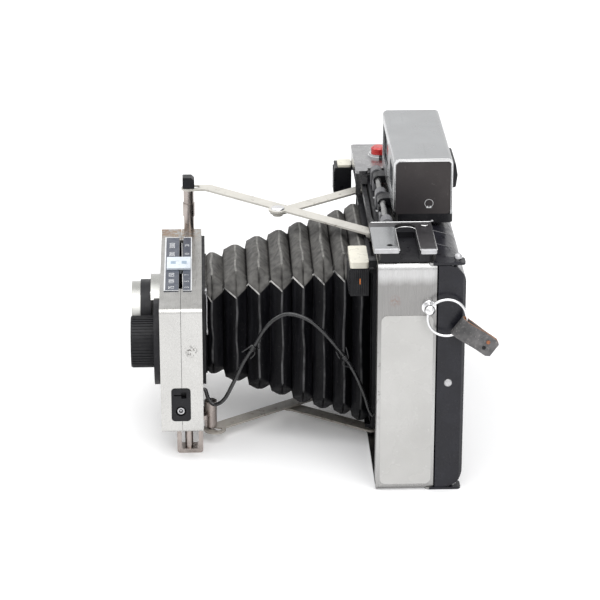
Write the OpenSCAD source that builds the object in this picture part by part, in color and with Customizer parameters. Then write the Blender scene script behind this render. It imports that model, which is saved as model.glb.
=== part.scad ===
// Folding instant camera, pack-film type: box body, pleated bellows, front standard carried by
// folding struts, flip-up finder. Millimetres. X runs along the body, the lens looks along -Y, Z is up.
// The origin is the mouth of the tripod bush, under the lens axis on the camera's base.

/* [Body] */
// Height of the body
body_h = 118; // [110:1:140]
// Lens axis to the end with the flash shoe
near_end = 97.5; // [92:0.5:120]
// Lens axis to the end with the shutter button
far_end = 82.5; // [80:0.5:104]
// Depth of the metal shell
shell_d = 28; // [26:0.5:34]
// Depth of the back door
door_d = 14; // [12:0.5:20]
// Sheet thickness of the shell
shell_wall = 1.6; // [1.2:0.1:2]
// Corner radius of the shell
shell_r = 3.5; // [2.5:0.5:5]
// Height of the lens axis above the base
axis_z = 56; // [52:1:60]
// Wall of the back door
door_wall = 1.8; // [1.4:0.1:2.4]

/* [Front standard] */
// Width of the standard
std_w = 119; // [110:1:125]
// Height of the standard
std_h = 66; // [58:1:70]
// Underside of the standard above the base
std_z = 15.2; // [14:0.1:18]
// Depth of each of its two covers
cover_d = 10.5; // [9:0.5:13]
// Sheet thickness of the covers
cover_wall = 1.4; // [1:0.1:1.8]
// Front of the body to the back of the opened standard
reach = 83.5; // [70:0.5:100]
// How far the standard folds back
fold_travel = 70; // [50:1:70]

/* [Struts] */
// Lens axis to the top post
top_post_x = 56; // [50:0.5:57]
// Offset of the top arm's sliding end from the post, opened
top_spread = 72; // [60:1:76]
// Lens axis to the bottom post
low_post_x = 33; // [24:0.5:40]
// Offset of the bottom arm's sliding end from the post, opened
low_spread = 60; // [50:1:64]
// Width of a strut
strut_w = 7.6; // [6:0.2:9]
// Thickness of a strut
strut_t = 1; // [0.8:0.1:1.2]
// Height of the top arm
top_z = 104; // [103:0.5:105]
// Radius of a pivot pin
pivot_r = 1.5; // [1.2:0.1:1.8]

/* [Lenses] */
// Radius of the lens mount plate
mount_r = 20.5; // [18:0.5:21]
// Radius of the front lens bezel
bezel_r = 16.8; // [15:0.2:18]
// Radius of the front glass
glass_r = 10.5; // [8:0.5:12]
// Lens axis to the electric eye
eye_x = 38; // [37.5:0.5:40]
// Radius of the eye's exposure barrel
eye_r = 13; // [11:0.5:14]
// Radius of the disc behind the barrel
disc_r = 21.5; // [18:0.5:22]

/* [Finder] */
// End of the finder on the flash shoe side
finder_near = 42; // [38:1:44]
// Length of the finder
finder_l = 81; // [70:1:84]
// Depth of the finder
finder_d = 29; // [26:0.5:31]
// Top of the finder above the body's top
finder_rise = 33.5; // [28:0.5:40]
// Height of the finder's hinge above the body's top
hinge_rise = 2.5; // [2:0.5:4]

/* [Controls] */
// Radius of the shutter button
button_r = 3.9; // [3.5:0.1:4.8]
// Travel of the shutter button
button_travel = 2.5; // [1.5:0.1:2.8]
// Travel of the focus bar
focus_travel = 6; // [3:0.5:6]
// Radius of the strap ring's wire
ring_wire = 0.65; // [0.5:0.05:0.7]
// Radius of the strap ring
ring_r = 9.2; // [8:0.1:10]

/* [Mounts] */
// Radius of the tripod bush's thread
tripod_r = 3.175; // [3:0.005:3.2]
// Depth of the tripod thread
tripod_l = 6; // [5:0.5:6.5]

/* [Clearances] */
// Radial clearance of a pin that turns
run = 0.06; // [0.03:0.01:0.1]
// Gap between parts that slide past each other
slip = 0.3; // [0.2:0.05:0.4]

/* [Hidden] */
$fn = 48;

little = 0.01;
// deck in front of the finder, sunk below the body's top
deck_z = body_h - 3.5;
front_y = -shell_d / 2;
seam_y = shell_d / 2;
back_y = seam_y + door_d;
std_back = front_y - reach;
std_parting = std_back - cover_d;
std_front = std_parting - cover_d;
std_top = std_z + std_h;
std_x = std_w / 2;

// Bellows, chamber and the frames at its two ends
rear_half_w = 44;
rear_half_h = 44;
front_half_w = 24;
front_half_h = 23.5;
ring_half = 46;
ring_front = front_y + 1;
ring_depth = 9;
plate_front = front_y + 3.1;
plate_t = 1.9;
gate_y = seam_y - 6;
bellows_front = std_back + 1.6;
bellows_back = ring_front;

// Strut geometry: a short brace carries the middle of each long arm
pivot_y = front_y + 2;
top_post_y = std_back - 6.5;
top_reach = pivot_y - top_post_y;
top_len = sqrt(pow(top_reach, 2) + pow(top_spread, 2));
low_post_y = std_back + 3.5;
low_reach = pivot_y - low_post_y;
low_len = sqrt(pow(low_reach, 2) + pow(low_spread, 2));
low_z = 5;
brace_gap = 0.3;
fold_room = 4.3;
post_pin_r = 1.1;
top_swing = asin(top_reach / top_len) - asin((top_reach - fold_travel) / top_len);
low_swing = asin(low_reach / low_len) - asin((low_reach - fold_travel) / low_len);

// Focus bar
bar_z = 107.5;
bar_h = 4;
bar_y = front_y + 0.5;
bar_t = 1.8;
knob_front = front_y - 12.5;
knob_back = front_y - 3;
knob_z = 94;
near_knob_x = 56;
near_knob_l = 22;
far_knob_x = -86;
far_knob_l = 14;

// Shutter button
button_x = -62;
button_y = -3.4;

// Finder
finder_front = -3;
finder_back = finder_front + finder_d;
finder_far = finder_near - finder_l;
finder_top = body_h + finder_rise;
hinge_z = body_h + hinge_rise;
finder_floor = body_h + 5;
hinge_y = -6.5;
hinge_r = 1.5;

// Back door hinge
door_pin_x = near_end - 3.5;
door_pin_y = back_y - 4;
door_gap = 0.2;
ear_t = 1.2;

// Strap lugs
lug_y = 10.3;
lug_z = 96;
ring_off = 4.6;
ring_tilt = 25.7;

// Route of the release lead, from the standard to the body
lead_r = 0.9;
lead_path = [[40, -97.5, 30], [40, -96.4, 30], [40.4, -95, 25.5], [41.5, -92, 22.5], [43, -87, 26], [44, -82, 36],
    [44.5, -77, 47], [45, -71.5, 56], [46, -66.5, 65], [46.5, -60.5, 71], [47, -54, 73.2],
    [48.2, -45, 70.5], [50, -37, 64], [51.5, -29, 54.5], [52.5, -22.5, 44.5], [53.5, -17.5, 33],
    [54, -14.5, 24], [54, -12.2, 20.8], [54, -10.9, 20.8]];

module box(x0, x1, y0, y1, z0, z1) {
    translate([x0, y0, z0]) cube([x1 - x0, y1 - y0, z1 - z0]);
}

// Rectangle with round corners, exact
module round_rect(w, h, r) {
    translate([r, 0]) square([w - 2 * r, h]);
    translate([0, r]) square([w, h - 2 * r]);
    for (x = [r, w - r], y = [r, h - r]) translate([x, y]) circle(r);
}

// Block with corners rounded in the XZ, YZ or XY plane
module block_y(x0, x1, y0, y1, z0, z1, r) {
    translate([x0, y1, z0]) rotate([90, 0, 0]) linear_extrude(y1 - y0) round_rect(x1 - x0, z1 - z0, r);
}
module block_x(x0, x1, y0, y1, z0, z1, r) {
    translate([x0, y0, z0]) rotate([90, 0, 90]) linear_extrude(x1 - x0) round_rect(y1 - y0, z1 - z0, r);
}
module block_z(x0, x1, y0, y1, z0, z1, r) {
    translate([x0, y0, z0]) linear_extrude(z1 - z0) round_rect(x1 - x0, y1 - y0, r);
}

// Round bars along each axis
module rod_x(x0, x1, y, z, r) {
    translate([x0, y, z]) rotate([0, 90, 0]) cylinder(h = x1 - x0, r = r);
}
module rod_y(x, y0, y1, z, r) {
    translate([x, y1, z]) rotate([90, 0, 0]) cylinder(h = y1 - y0, r = r);
}
module rod_z(x, y, z0, z1, r) {
    translate([x, y, z0]) cylinder(h = z1 - z0, r = r);
}

// ---------------------------------------------------------------- body

module body_shell() color("silver") difference() {
    union() {
        difference() {
            block_y(-far_end, near_end, front_y, seam_y, 0, body_h, shell_r);
            block_y(-far_end + shell_wall, near_end - shell_wall, front_y - 1, seam_y + 1,
                shell_wall, body_h - shell_wall, shell_r - shell_wall);
        }
        box(near_end - 9, near_end - shell_wall / 2, front_y, front_y + shell_wall,
            shell_r, body_h - shell_r);
        box(-far_end + shell_wall / 2, -far_end + 3, front_y, front_y + shell_wall,
            shell_r, knob_z - 3);
        ear_pair(0, ear_t);
        ear_pair(body_h - ear_t, body_h);
    }
    // recess in front of the finder
    box(-37.6, 57, front_y - 1, -3, body_h - shell_wall - 1, body_h + 1);
    rod_z(0, 0, -1, shell_wall + 1, tripod_r + 2.2);
    for (x = [near_end - 3, -far_end - 3]) rod_x(x, x + 6, lug_y, lug_z, 1.6);
    for (z = [-1, body_h - ear_t - 1]) rod_z(door_pin_x, door_pin_y, z, z + ear_t + 2, pivot_r);
}

// Hinge ear that reaches back over the door's end
module ear_pair(z0, z1) {
    block_z(door_pin_x - 4.5, near_end, seam_y - 4, door_pin_y + 3.5, z0, z1, 2);
}

module body_frame() color([0.09, 0.09, 0.1]) difference() {
    union() {
        inner_plate(plate_front, plate_front + plate_t);
        inner_plate(gate_y, gate_y + 1.5);
        // film chamber behind the bellows
        chamber_wall = 1.5;
        difference() {
            box(-ring_half - 2.5, ring_half + 2.5, 3, gate_y + little, 8, axis_z + ring_half + 0.9);
            box(-ring_half - 2.5 + chamber_wall, ring_half + 2.5 - chamber_wall, 2, gate_y + 1,
                8 + chamber_wall, axis_z + ring_half + 0.9 - chamber_wall);
        }
        // keeps under and over the focus bar
        for (x = [-50, 20, 64]) {
            box(x, x + 8, bar_y + slip, plate_front + little, bar_z + bar_h + slip, bar_z + bar_h + 2.5);
        }
    }
    // bellows opening, then the slots for the two strut rails
    box(-ring_half - slip, ring_half + slip, plate_front - 1, plate_front + plate_t + 1,
        axis_z - ring_half - slip, axis_z + ring_half + slip);
    box(-top_post_x - 9, top_post_x + 11, plate_front - 1, plate_front + plate_t + 1, 98, bar_z - slip);
    box(-low_post_x - 44, low_post_x + 9, plate_front - 1, plate_front + plate_t + 1, 2.4, 12);
    // picture gate and the room for the rollers
    box(-47.5, 47.5, gate_y - 1, gate_y + 3, axis_z - 36.5, axis_z + 36.5);
    box(-far_end, -58, gate_y - 1, gate_y + 3, 5, 108);
    // recess in front of the finder
    box(-37.6, 58, plate_front - 1, plate_front + plate_t + 1, deck_z - 1.9, body_h);
}

module inner_plate(y0, y1) {
    block_y(-far_end + shell_wall, near_end - shell_wall, y0, y1, shell_wall,
        body_h - shell_wall, shell_r - shell_wall);
}

module top_deck() color([0.1, 0.1, 0.11]) {
    box(-35.8, 56.8, plate_front + 0.2, -3.2, deck_z - 1.5, deck_z);
    box(-35.8, 56.8, -4.6, -3.2, deck_z, body_h);
    for (x = [-35.8, 55.6]) box(x, x + 1.2, plate_front + 0.2, -4.6, deck_z, body_h);
}

module release_housing() color("silver") {
    union() {
        difference() {
            union() {
                block_z(-far_end + 1.2, finder_far - 1.5, front_y - 3, 11, body_h, body_h + 1.6, 2);
                block_z(-60, -36, front_y - 3, hinge_y - 4, body_h, body_h + 1.6, 2);
            }
            rod_z(button_x, button_y, body_h - 1, body_h + 3, 5.5 + run);
        }
        box(-far_end + 1.5, -36.3, front_y - 3, front_y - 1.8, bar_z + bar_h + 1, body_h + little);
        box(-37.5, -36, front_y - 2.9, plate_front, bar_z + bar_h + 1, body_h + little);
        box(-37.5, -36, front_y - 2.9, front_y - 0.2, top_z + 2.4, bar_z + bar_h + 1.5);
    }
}

module button_collar() color("silver") difference() {
    union() {
        rod_z(button_x, button_y, body_h, body_h + 3.2, 5);
        rod_z(button_x, button_y, body_h, body_h + 2, 5.5);
    }
    rod_z(button_x, button_y, body_h - 1, body_h + 7, button_r + slip / 2);
}

module shutter_button() color("red") {
    translate([button_x, button_y, 0]) {
        translate([0, 0, body_h + button_travel + 0.5])
            cylinder(h = 5.3 - button_travel, r = button_r);
        translate([0, 0, body_h + 5.8]) cylinder(h = 0.9, r1 = button_r, r2 = button_r - 1);
    }
}

module hinge_bracket() color([0.3, 0.3, 0.32]) difference() {
    union() {
        for (x = [-34, 1, 43]) {
            box(x, x + 7, hinge_y - 3, -4.7, deck_z, hinge_z);
            rod_x(x, x + 7, hinge_y, hinge_z, 3);
        }
    }
    rod_x(-40, 60, hinge_y, hinge_z, hinge_r);
}

module hinge_rod() color("silver") {
    rod_x(-35, 51, hinge_y, hinge_z, hinge_r);
    rod_x(51, 52, hinge_y, hinge_z, 2.2);
}

module flash_base() color([0.08, 0.08, 0.09]) difference() {
    block_z(58, near_end - 1.5, front_y + 1, 11, body_h, body_h + 4.5, 1);
    block_z(66, near_end, -3.6, 5.6, body_h + 1.5, body_h + 6, 1.5);
}

module flash_plate() color([0.25, 0.25, 0.27]) difference() {
    union() {
        block_z(56, 63, front_y - 2, seam_y, body_h + 4.5, body_h + 6, 1);
        block_z(56, near_end - 1.5, 6, seam_y, body_h + 4.5, body_h + 6, 1);
        rod_z(62, 10.6, body_h + 6, body_h + 6.6, 1.7);
    }
    rod_z(63, 1, body_h + 3, body_h + 8, 4.9);
    box(63, near_end, front_y - 3, 5.9, body_h + 3, body_h + 8);
}

module flash_clip() color("silver") difference() {
    union() {
        block_z(63.3, near_end - 1.5, front_y - 2, -4, body_h + 4.5, body_h + 6.2, 1);
        block_x(near_end - 3.5, near_end - 1.5, front_y - 2, -4, body_h + 4.5, body_h + 7.4, 0.8);
    }
    rod_z(89, -8, body_h + 3, body_h + 8, 1.4);
}

module sticker() color([0.85, 0.85, 0.82]) {
    block_x(near_end, near_end + 0.3, -12.2, 12.6, shell_r, 91.5, 3);
}

module strap_lugs() color("silver") {
    lug(near_end, 1);
    lug(-far_end, -1);
}

module lug(x, way) {
    translate([x, lug_y, lug_z]) rotate([0, way * 90, 0]) difference() {
        union() {
            translate([0, 0, -shell_wall]) cylinder(h = shell_wall + 0.1, r = 1.6);
            cylinder(h = 0.8, r = 3.4);
            cylinder(h = ring_off, r = 1.7);
            translate([0, 0, ring_off]) sphere(r = 2.6);
        }
        rotate([0, 0, -way * ring_tilt]) translate([0, 0, ring_off]) rotate([0, 90, 0])
            cylinder(h = 8, r = ring_wire + 0.4, center = true);
    }
}

module tripod_bush() color("silver") difference() {
    union() {
        rod_z(0, 0, 0, shell_wall, tripod_r + 2.2);
        rod_z(0, 0, shell_wall, tripod_l, tripod_r + 1.6);
        rod_z(0, 0, shell_wall, shell_wall + 0.8, tripod_r + 4);
    }
    rod_z(0, 0, -1, tripod_l + 1, tripod_r);
}

module door_pin() color("silver") {
    rod_z(door_pin_x, door_pin_y, 0, body_h + 0.6, pivot_r);
    translate([door_pin_x, door_pin_y, body_h + 1.6]) sphere(r = 2);
}

// ---------------------------------------------------------------- back

door_low = ear_t + slip;
door_high = body_h - ear_t - slip;

module door_outline(x0, x1, grow) {
    shoulder = 9;
    y0 = seam_y + door_gap;
    h = door_high - door_low;
    d = door_d - door_gap;
    translate([x0, y0, door_low]) rotate([90, 0, 90]) linear_extrude(x1 - x0)
        difference() {
            union() {
                translate([grow, grow]) square([d - shoulder - grow + little, h - 2 * grow]);
                translate([grow, shoulder]) square([d - 2 * grow, h - 2 * shoulder]);
                translate([d - shoulder, shoulder]) circle(shoulder - grow);
                translate([d - shoulder, h - shoulder]) circle(shoulder - grow);
            }
            // trims the round corners back to the door's own side of the seam
            translate([-20, -1]) square([20 + grow, h + 2]);
        }
}

module back_door() color([0.07, 0.07, 0.08]) difference() {
    union() {
        difference() {
            door_outline(-far_end, near_end, 0);
            translate([0, -door_wall - 1, 0]) door_outline(-far_end + door_wall, near_end - door_wall, door_wall);
            door_outline(-far_end + door_wall, near_end - door_wall, door_wall);
            // film exit
            box(-far_end - 1, -far_end + 3, seam_y + 1, seam_y + 6, 14, 98);
        }
        intersection() {
            door_outline(-far_end, near_end, 0);
            rod_z(door_pin_x, door_pin_y, 0, body_h, 3.6);
        }
        for (x = [-34, 34]) rod_y(x, back_y - 5, back_y - door_wall / 2, axis_z, 3);
    }
    rod_z(door_pin_x, door_pin_y, -1, body_h + 1, pivot_r + run);
    // corner rounded about the pin so that the door can swing
    difference() {
        box(door_pin_x, near_end + 1, seam_y - 1, door_pin_y - 3, -1, body_h + 1);
        rod_z(door_pin_x, door_pin_y, -2, body_h + 2, door_pin_y - seam_y - 0.1);
    }
    for (x = [-far_end, near_end]) translate([x, back_y, 0]) rotate([0, 0, 45])
        translate([-1.1, -1.1, -1]) cube([2.2, 2.2, body_h + 2]);
    box(-far_end - 1, -far_end + 0.9, seam_y + 3.5, back_y - 3, axis_z - 9, axis_z + 14);
}

module pressure_plate() color([0.2, 0.2, 0.21]) {
    difference() {
        block_y(-50, 50, seam_y + 1.2, seam_y + 2.2, axis_z - 40, axis_z + 40, 2);
        for (x = [-20, 20]) box(x - 6, x + 6, seam_y, seam_y + 4, axis_z - 25, axis_z + 25);
    }
    for (x = [-34, 34]) rod_y(x, seam_y + 2.2, back_y - 5, axis_z, 2);
}

module door_latch() color("silver") {
    block_x(-far_end - 0.9, -far_end + 0.7, seam_y + 4, back_y - 3.5, axis_z - 8.5, axis_z + 7.5, 0.8);
    for (i = [0:3]) {
        box(-far_end - 1.3, -far_end - 0.9, seam_y + 4.6, back_y - 4.1,
            axis_z - 6 + i * 3, axis_z - 5 + i * 3);
    }
}

roller_x = -69;
front_roller_r = 5;
rear_roller_r = 3.4;
front_roller_y = seam_y - 1.5;
rear_roller_y = front_roller_y + front_roller_r + rear_roller_r + 0.3;

module roller_frame() color([0.6, 0.6, 0.62]) difference() {
    union() {
        for (z = [10, 100]) box(-76, -60.8, 5, back_y - door_wall - 0.6, z, z + 1.6);
        box(-60.8, -59.4, 5, gate_y, 10, 101.6);
        box(-60.8, -56.5, gate_y - 1.4, gate_y, 10, 101.6);
    }
    rod_z(roller_x, front_roller_y, 0, 110, pivot_r + run);
    rod_z(roller_x, rear_roller_y, 0, 110, pivot_r + run);
}

module roller(y, r) {
    rod_z(roller_x, y, 12, 99.6, r);
    rod_z(roller_x, y, 9.4, 102.2, pivot_r);
}

module front_roller() color("silver") {
    roller(front_roller_y, front_roller_r);
}

module rear_roller() color("silver") {
    roller(rear_roller_y, rear_roller_r);
}

battery_x = 76;
battery_r = 7;

module battery() color([0.25, 0.3, 0.45]) {
    rod_z(battery_x, 0, 22, 70, battery_r);
    rod_z(battery_x, 0, 70, 71.4, 2.6);
}

module battery_clip() color([0.75, 0.7, 0.5]) {
    box(battery_x - 8.5, battery_x + 8.5, -7.2, gate_y, 19, 21.8);
    box(battery_x - 8.5, battery_x + 8.5, 7.2, gate_y, 21.8, 74);
    box(battery_x - 5, battery_x + 5, -3, gate_y, 71.6, 73.4);
}

// ---------------------------------------------------------------- focusing

ear_x = 54;

module guide_rods() color("silver") {
    for (x = [-ear_x, ear_x]) rod_y(x, plate_front + plate_t, gate_y, axis_z, pivot_r);
}

rail_z = top_z - strut_t - brace_gap - 2.4;
rail_t = 2;
rail_top = rail_z + rail_t;

module carriage() color([0.14, 0.14, 0.15]) difference() {
    union() {
        box(-ring_half, ring_half, ring_front, ring_front + ring_depth,
            axis_z - ring_half, axis_z + ring_half);
        for (s = [-1, 1]) {
            box(min(s * ring_half, s * (ear_x + 3.5)), max(s * ring_half, s * (ear_x + 3.5)),
                ring_front + ring_depth - 2.5, ring_front + ring_depth, axis_z - 5, axis_z + 5);
        }
        // rails that carry the struts
        box(-top_post_x - 5, top_post_x + 7, front_y - 1.6, pivot_y + 3.6, rail_z, rail_top);
        box(-low_post_x - 40, low_post_x + 5, front_y - 1.6, pivot_y + 3.6,
            low_z - strut_t - brace_gap + 3.2, low_z - strut_t - brace_gap + 5.2);
        box(-20, 20, ring_front, ring_front + 3, 7, axis_z - ring_half + little);
        box(-30, 30, ring_front, ring_front + 3, axis_z + ring_half - 6, rail_z + little);
        // pivots of the two braces
        rod_z(-top_post_x, pivot_y, rail_top, top_z + 0.2, pivot_r);
        rod_z(-top_post_x, pivot_y, top_z - brace_gap + 0.2, top_z + 0.8, 2.6);
        rod_z(low_post_x, pivot_y, low_z - strut_t - brace_gap - 0.4, 8, pivot_r);
        rod_z(low_post_x, pivot_y, low_z - strut_t - brace_gap - 1.2, low_z - strut_t - brace_gap - 0.4, 2.6);
    }
    box(-rear_half_w + 1.5, rear_half_w - 1.5, front_y - 5, ring_front + ring_depth + 1,
        axis_z - rear_half_h + 1.5, axis_z + rear_half_h - 1.5);
    for (s = [-1, 1]) rod_y(s * ear_x, -20, 20, axis_z, pivot_r + run);
    // slots for the sliding ends of the long arms
    rail_slot(-top_post_x + top_spread, -top_post_x + top_len, rail_z - 1, rail_top + 1);
    rail_slot(low_post_x - low_len, low_post_x - low_spread, low_z, low_z + 4.3);
}

module rail_slot(x0, x1, z0, z1) {
    w = pivot_r + slip / 2;
    box(x0 - 1, x1 + 0.5, pivot_y - w, pivot_y + w, z0, z1);
    for (x = [x0 - 1, x1 + 0.5]) rod_z(x, pivot_y, z0, z1, w);
}

// A pleated square tube, each ring a rectangle with cut corners
pleats = 8;
pleat_depth = 5.2;
bellows_wall = 1;

function ring_points(y, hw, hh, c) = [
    [hw, y, axis_z - hh + c], [hw, y, axis_z + hh - c], [hw - c, y, axis_z + hh],
    [-hw + c, y, axis_z + hh], [-hw, y, axis_z + hh - c], [-hw, y, axis_z - hh + c],
    [-hw + c, y, axis_z - hh], [hw - c, y, axis_z - hh]];
function ring_half_w(i) = front_half_w + (rear_half_w - front_half_w) * i / (2 * pleats);
function ring_half_h(i) = front_half_h + (rear_half_h - front_half_h) * i / (2 * pleats);
function ring_y(i) = bellows_front + (bellows_back - bellows_front) * i / (2 * pleats);
function valley(i) = i % 2 == 1 ? pleat_depth : 0;

module bellows() color([0.08, 0.08, 0.09]) {
    n = 2 * pleats;
    outer = [for (i = [0:n]) each ring_points(ring_y(i), ring_half_w(i) - valley(i),
        ring_half_h(i) - valley(i), 4)];
    inner = [for (i = [0:n]) each ring_points(ring_y(i), ring_half_w(i) - valley(i) - bellows_wall,
        ring_half_h(i) - valley(i) - bellows_wall, 3.5)];
    base = 8 * (n + 1);
    skin = [for (i = [0:n - 1]) for (j = [0:7]) for (t = [0, 1])
        t == 0 ? [8 * i + j, 8 * i + (j + 1) % 8, 8 * (i + 1) + (j + 1) % 8]
            : [8 * i + j, 8 * (i + 1) + (j + 1) % 8, 8 * (i + 1) + j]];
    lining = [for (f = skin) [f[2] + base, f[1] + base, f[0] + base]];
    rims = [for (j = [0:7]) for (t = [0, 1]) for (e = [0, n])
        let (a = 8 * e + j, b = 8 * e + (j + 1) % 8)
        e == 0 ? (t == 0 ? [a + base, b + base, b] : [a + base, b, a])
            : (t == 0 ? [a, b, b + base] : [a, b + base, a + base])];
    polyhedron(points = concat(outer, inner), faces = concat(skin, lining, rims));
}

// ---------------------------------------------------------------- struts

// Flat strut through a list of points, round at each of them
module strut(points, z) {
    for (p = points) rod_z(p[0], p[1], z, z + strut_t, strut_w / 2 + 0.05);
    for (i = [0:len(points) - 2]) {
        d = points[i + 1] - points[i];
        translate([points[i][0], points[i][1], z]) rotate([0, 0, atan2(d[1], d[0])])
            translate([0, -strut_w / 2, 0]) cube([norm(d), strut_w, strut_t]);
    }
}

top_mid = [-top_post_x + top_spread / 2, pivot_y - top_reach / 2];
low_mid = [low_post_x - low_spread / 2, pivot_y - low_reach / 2];
brace_z = top_z - strut_t - brace_gap;

module top_brace() color([0.85, 0.82, 0.76]) difference() {
    strut([[-top_post_x, pivot_y], top_mid], brace_z);
    rod_z(-top_post_x, pivot_y, brace_z - 1, top_z, pivot_r + run);
    rod_z(top_mid[0], top_mid[1], brace_z - 1, top_z, pivot_r + run);
}

module top_arm() color([0.85, 0.82, 0.76]) {
    difference() {
        union() {
            strut([[-top_post_x, top_post_y], [-top_post_x - 0.5, top_post_y + 10],
                [-top_post_x + top_spread, pivot_y]], top_z);
            rod_z(top_mid[0], top_mid[1], top_z, top_z + strut_t, 4.8);
        }
        post_slot(-top_post_x, top_post_y, top_z, 90 + top_swing / 2);
    }
    // middle rivet and sliding pin
    rod_z(top_mid[0], top_mid[1], brace_z - 0.8, top_z + strut_t + 0.9, pivot_r);
    rod_z(top_mid[0], top_mid[1], brace_z - 1.2, brace_z - 0.2, 2.6);
    rivet_head(top_mid[0], top_mid[1], top_z + strut_t, 3.6);
    rod_z(-top_post_x + top_spread, pivot_y, rail_top + slip / 2, top_z, 2.8);
    rod_z(-top_post_x + top_spread, pivot_y, rail_z - 0.4, top_z, pivot_r);
    rivet_head(-top_post_x + top_spread, pivot_y, top_z + strut_t, 2.6);
}

// Slot that takes up the small play between the arm and the post while folding
module post_slot(x, y, z, aim) {
    w = post_pin_r + 0.75;
    translate([x, y, z - 1]) rotate([0, 0, aim]) {
        for (k = [0, fold_room]) translate([k, 0, 0]) cylinder(h = strut_t + 2, r = w);
        translate([0, -w, 0]) cube([fold_room, 2 * w, strut_t + 2]);
    }
}

module rivet_head(x, y, z, r) {
    h = r / 3;
    ball = (r * r + h * h) / (2 * h);
    translate([x, y, z]) intersection() {
        translate([0, 0, h - ball]) sphere(r = ball);
        cylinder(h = h + 1, r = r + 1);
    }
}

module low_brace() color([0.75, 0.73, 0.7]) difference() {
    strut([[low_post_x, pivot_y], low_mid], low_z - strut_t - brace_gap);
    rod_z(low_post_x, pivot_y, 0, 8, pivot_r + run);
    rod_z(low_mid[0], low_mid[1], 0, 8, pivot_r + run);
}

module low_arm() color([0.75, 0.73, 0.7]) {
    difference() {
        union() {
            strut([[low_post_x, low_post_y], low_mid, [low_post_x - low_spread, pivot_y]], low_z);
            rod_z(low_post_x + 0.9, low_post_y + 2.1, low_z, low_z + strut_t, 5.6);
        }
        post_slot(low_post_x, low_post_y, low_z, 90 - 0.46 * low_swing);
    }
    rod_z(low_mid[0], low_mid[1], low_z - strut_t - brace_gap - 0.4, low_z + strut_t / 2, pivot_r);
    rod_z(low_mid[0], low_mid[1], low_z - strut_t - brace_gap - 1.2,
        low_z - strut_t - brace_gap - 0.2, 2.6);
    rod_z(low_post_x - low_spread, pivot_y, low_z + strut_t / 2, low_z + 4.2, pivot_r);
}

module focus_bar() color([0.12, 0.12, 0.13]) {
    box(far_knob_x + 6, near_knob_x + 18, bar_y, bar_y + bar_t, bar_z, bar_z + bar_h);
    for (x = [far_knob_x + 6, near_knob_x + 12]) {
        box(x, x + 6, knob_back, bar_y + little, bar_z, bar_z + bar_h - 0.6);
    }
}

module focus_caps() color([0.9, 0.88, 0.8]) {
    block_z(near_knob_x - 3, near_knob_x + near_knob_l - 1, knob_front + 0.5, knob_back,
        knob_z + 14, knob_z + 17, 1.5);
    block_z(far_knob_x + 2.4, far_knob_x + far_knob_l - 1.2, knob_front + 2.2, knob_back,
        knob_z + 15.4, knob_z + 16.6, 1.2);
}

module focus_grips() color([0.08, 0.08, 0.09]) {
    grip(near_knob_x, near_knob_x + near_knob_l - 0.8, 1, 14);
    grip(far_knob_x + 0.8, far_knob_x + far_knob_l, -1, 15.4);
}

module grip(x0, x1, way, h) {
    box(x0, x1, knob_front + 0.6, knob_back, knob_z, knob_z + h);
    for (i = [0:8]) {
        box(way > 0 ? x1 : x0 - 0.8, way > 0 ? x1 + 0.8 : x0, knob_front + 0.8 + i, knob_front + 1.3 + i,
            knob_z + 0.5, knob_z + 13.5);
        box(x0 + 0.5, x1 - 0.5, knob_front, knob_front + 0.6, knob_z + 0.8 + i * 1.45, knob_z + 1.6 + i * 1.45);
    }
}

// ---------------------------------------------------------------- front standard

cover_r = 2.4;
parting = 0.1;

module cover(y0, y1, open_y) {
    difference() {
        block_y(-std_x, std_x, y0, y1, std_z, std_top, cover_r);
        block_y(-std_x + cover_wall, std_x - cover_wall, y0 + (open_y > 0 ? cover_wall : -1),
            y1 - (open_y > 0 ? -1 : cover_wall), std_z + cover_wall, std_top - cover_wall,
            cover_r - cover_wall);
    }
}

// Slot along the parting line for the speed slider's stem
module slider_slot() {
    box(-40, 31, std_parting - 1, std_parting + 1, std_top - 3, std_top + 1);
}

module front_cover() color("silver") difference() {
    cover(std_front, std_parting - parting, 1);
    rod_y(0, std_front - 1, std_front + 4, axis_z, glass_r + 2.5 + run);
    rod_y(eye_x, std_front - 1, std_front + 4, axis_z, 8 + run);
    slider_slot();
    box(-50.4, -46.6, std_front - 1, std_front + 4, axis_z - 31, axis_z - 12);
    panel_seat();
}

module rear_cover() color("silver") difference() {
    cover(std_parting + parting, std_back, -1);
    rod_y(0, std_back - 4, std_back + 1, axis_z, 17);
    slider_slot();
    panel_seat();
}

module panel_seat() {
    block_x(std_x - 3, std_x + 1, std_parting - 5.3, std_parting + 4.3, 21.6, 39.4, 1.8);
}

module bellows_plate() color([0.1, 0.1, 0.11]) difference() {
    block_y(-50, 34, std_back, std_back + 1.6, 30, std_top - 0.6, 2);
    block_y(-17, 17, std_back - 1, std_back + 3, axis_z - 17, axis_z + 17, 3);
}

module scale_plates() color([0.25, 0.28, 0.34]) {
    block_z(-43.5, 34.5, std_front + 2, std_parting - 1.1, std_top, std_top + 0.4, 0.5);
    block_z(-43.5, 34.5, std_parting + 1.1, std_back - 5, std_top, std_top + 0.4, 0.5);
}

module speed_slider() color("white") {
    block_z(-11, 5.5, std_front + 3.2, std_back - 5.6, std_top + 0.4 + slip / 2, std_top + 1.5, 0.4);
    box(-8, 2.5, std_parting - 0.7, std_parting + 0.7, std_top - 2.5, std_top + 1);
    box(-8, 2.5, std_parting - 3, std_parting + 3, std_top - 2.7, std_top - 1.7);
}

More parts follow.
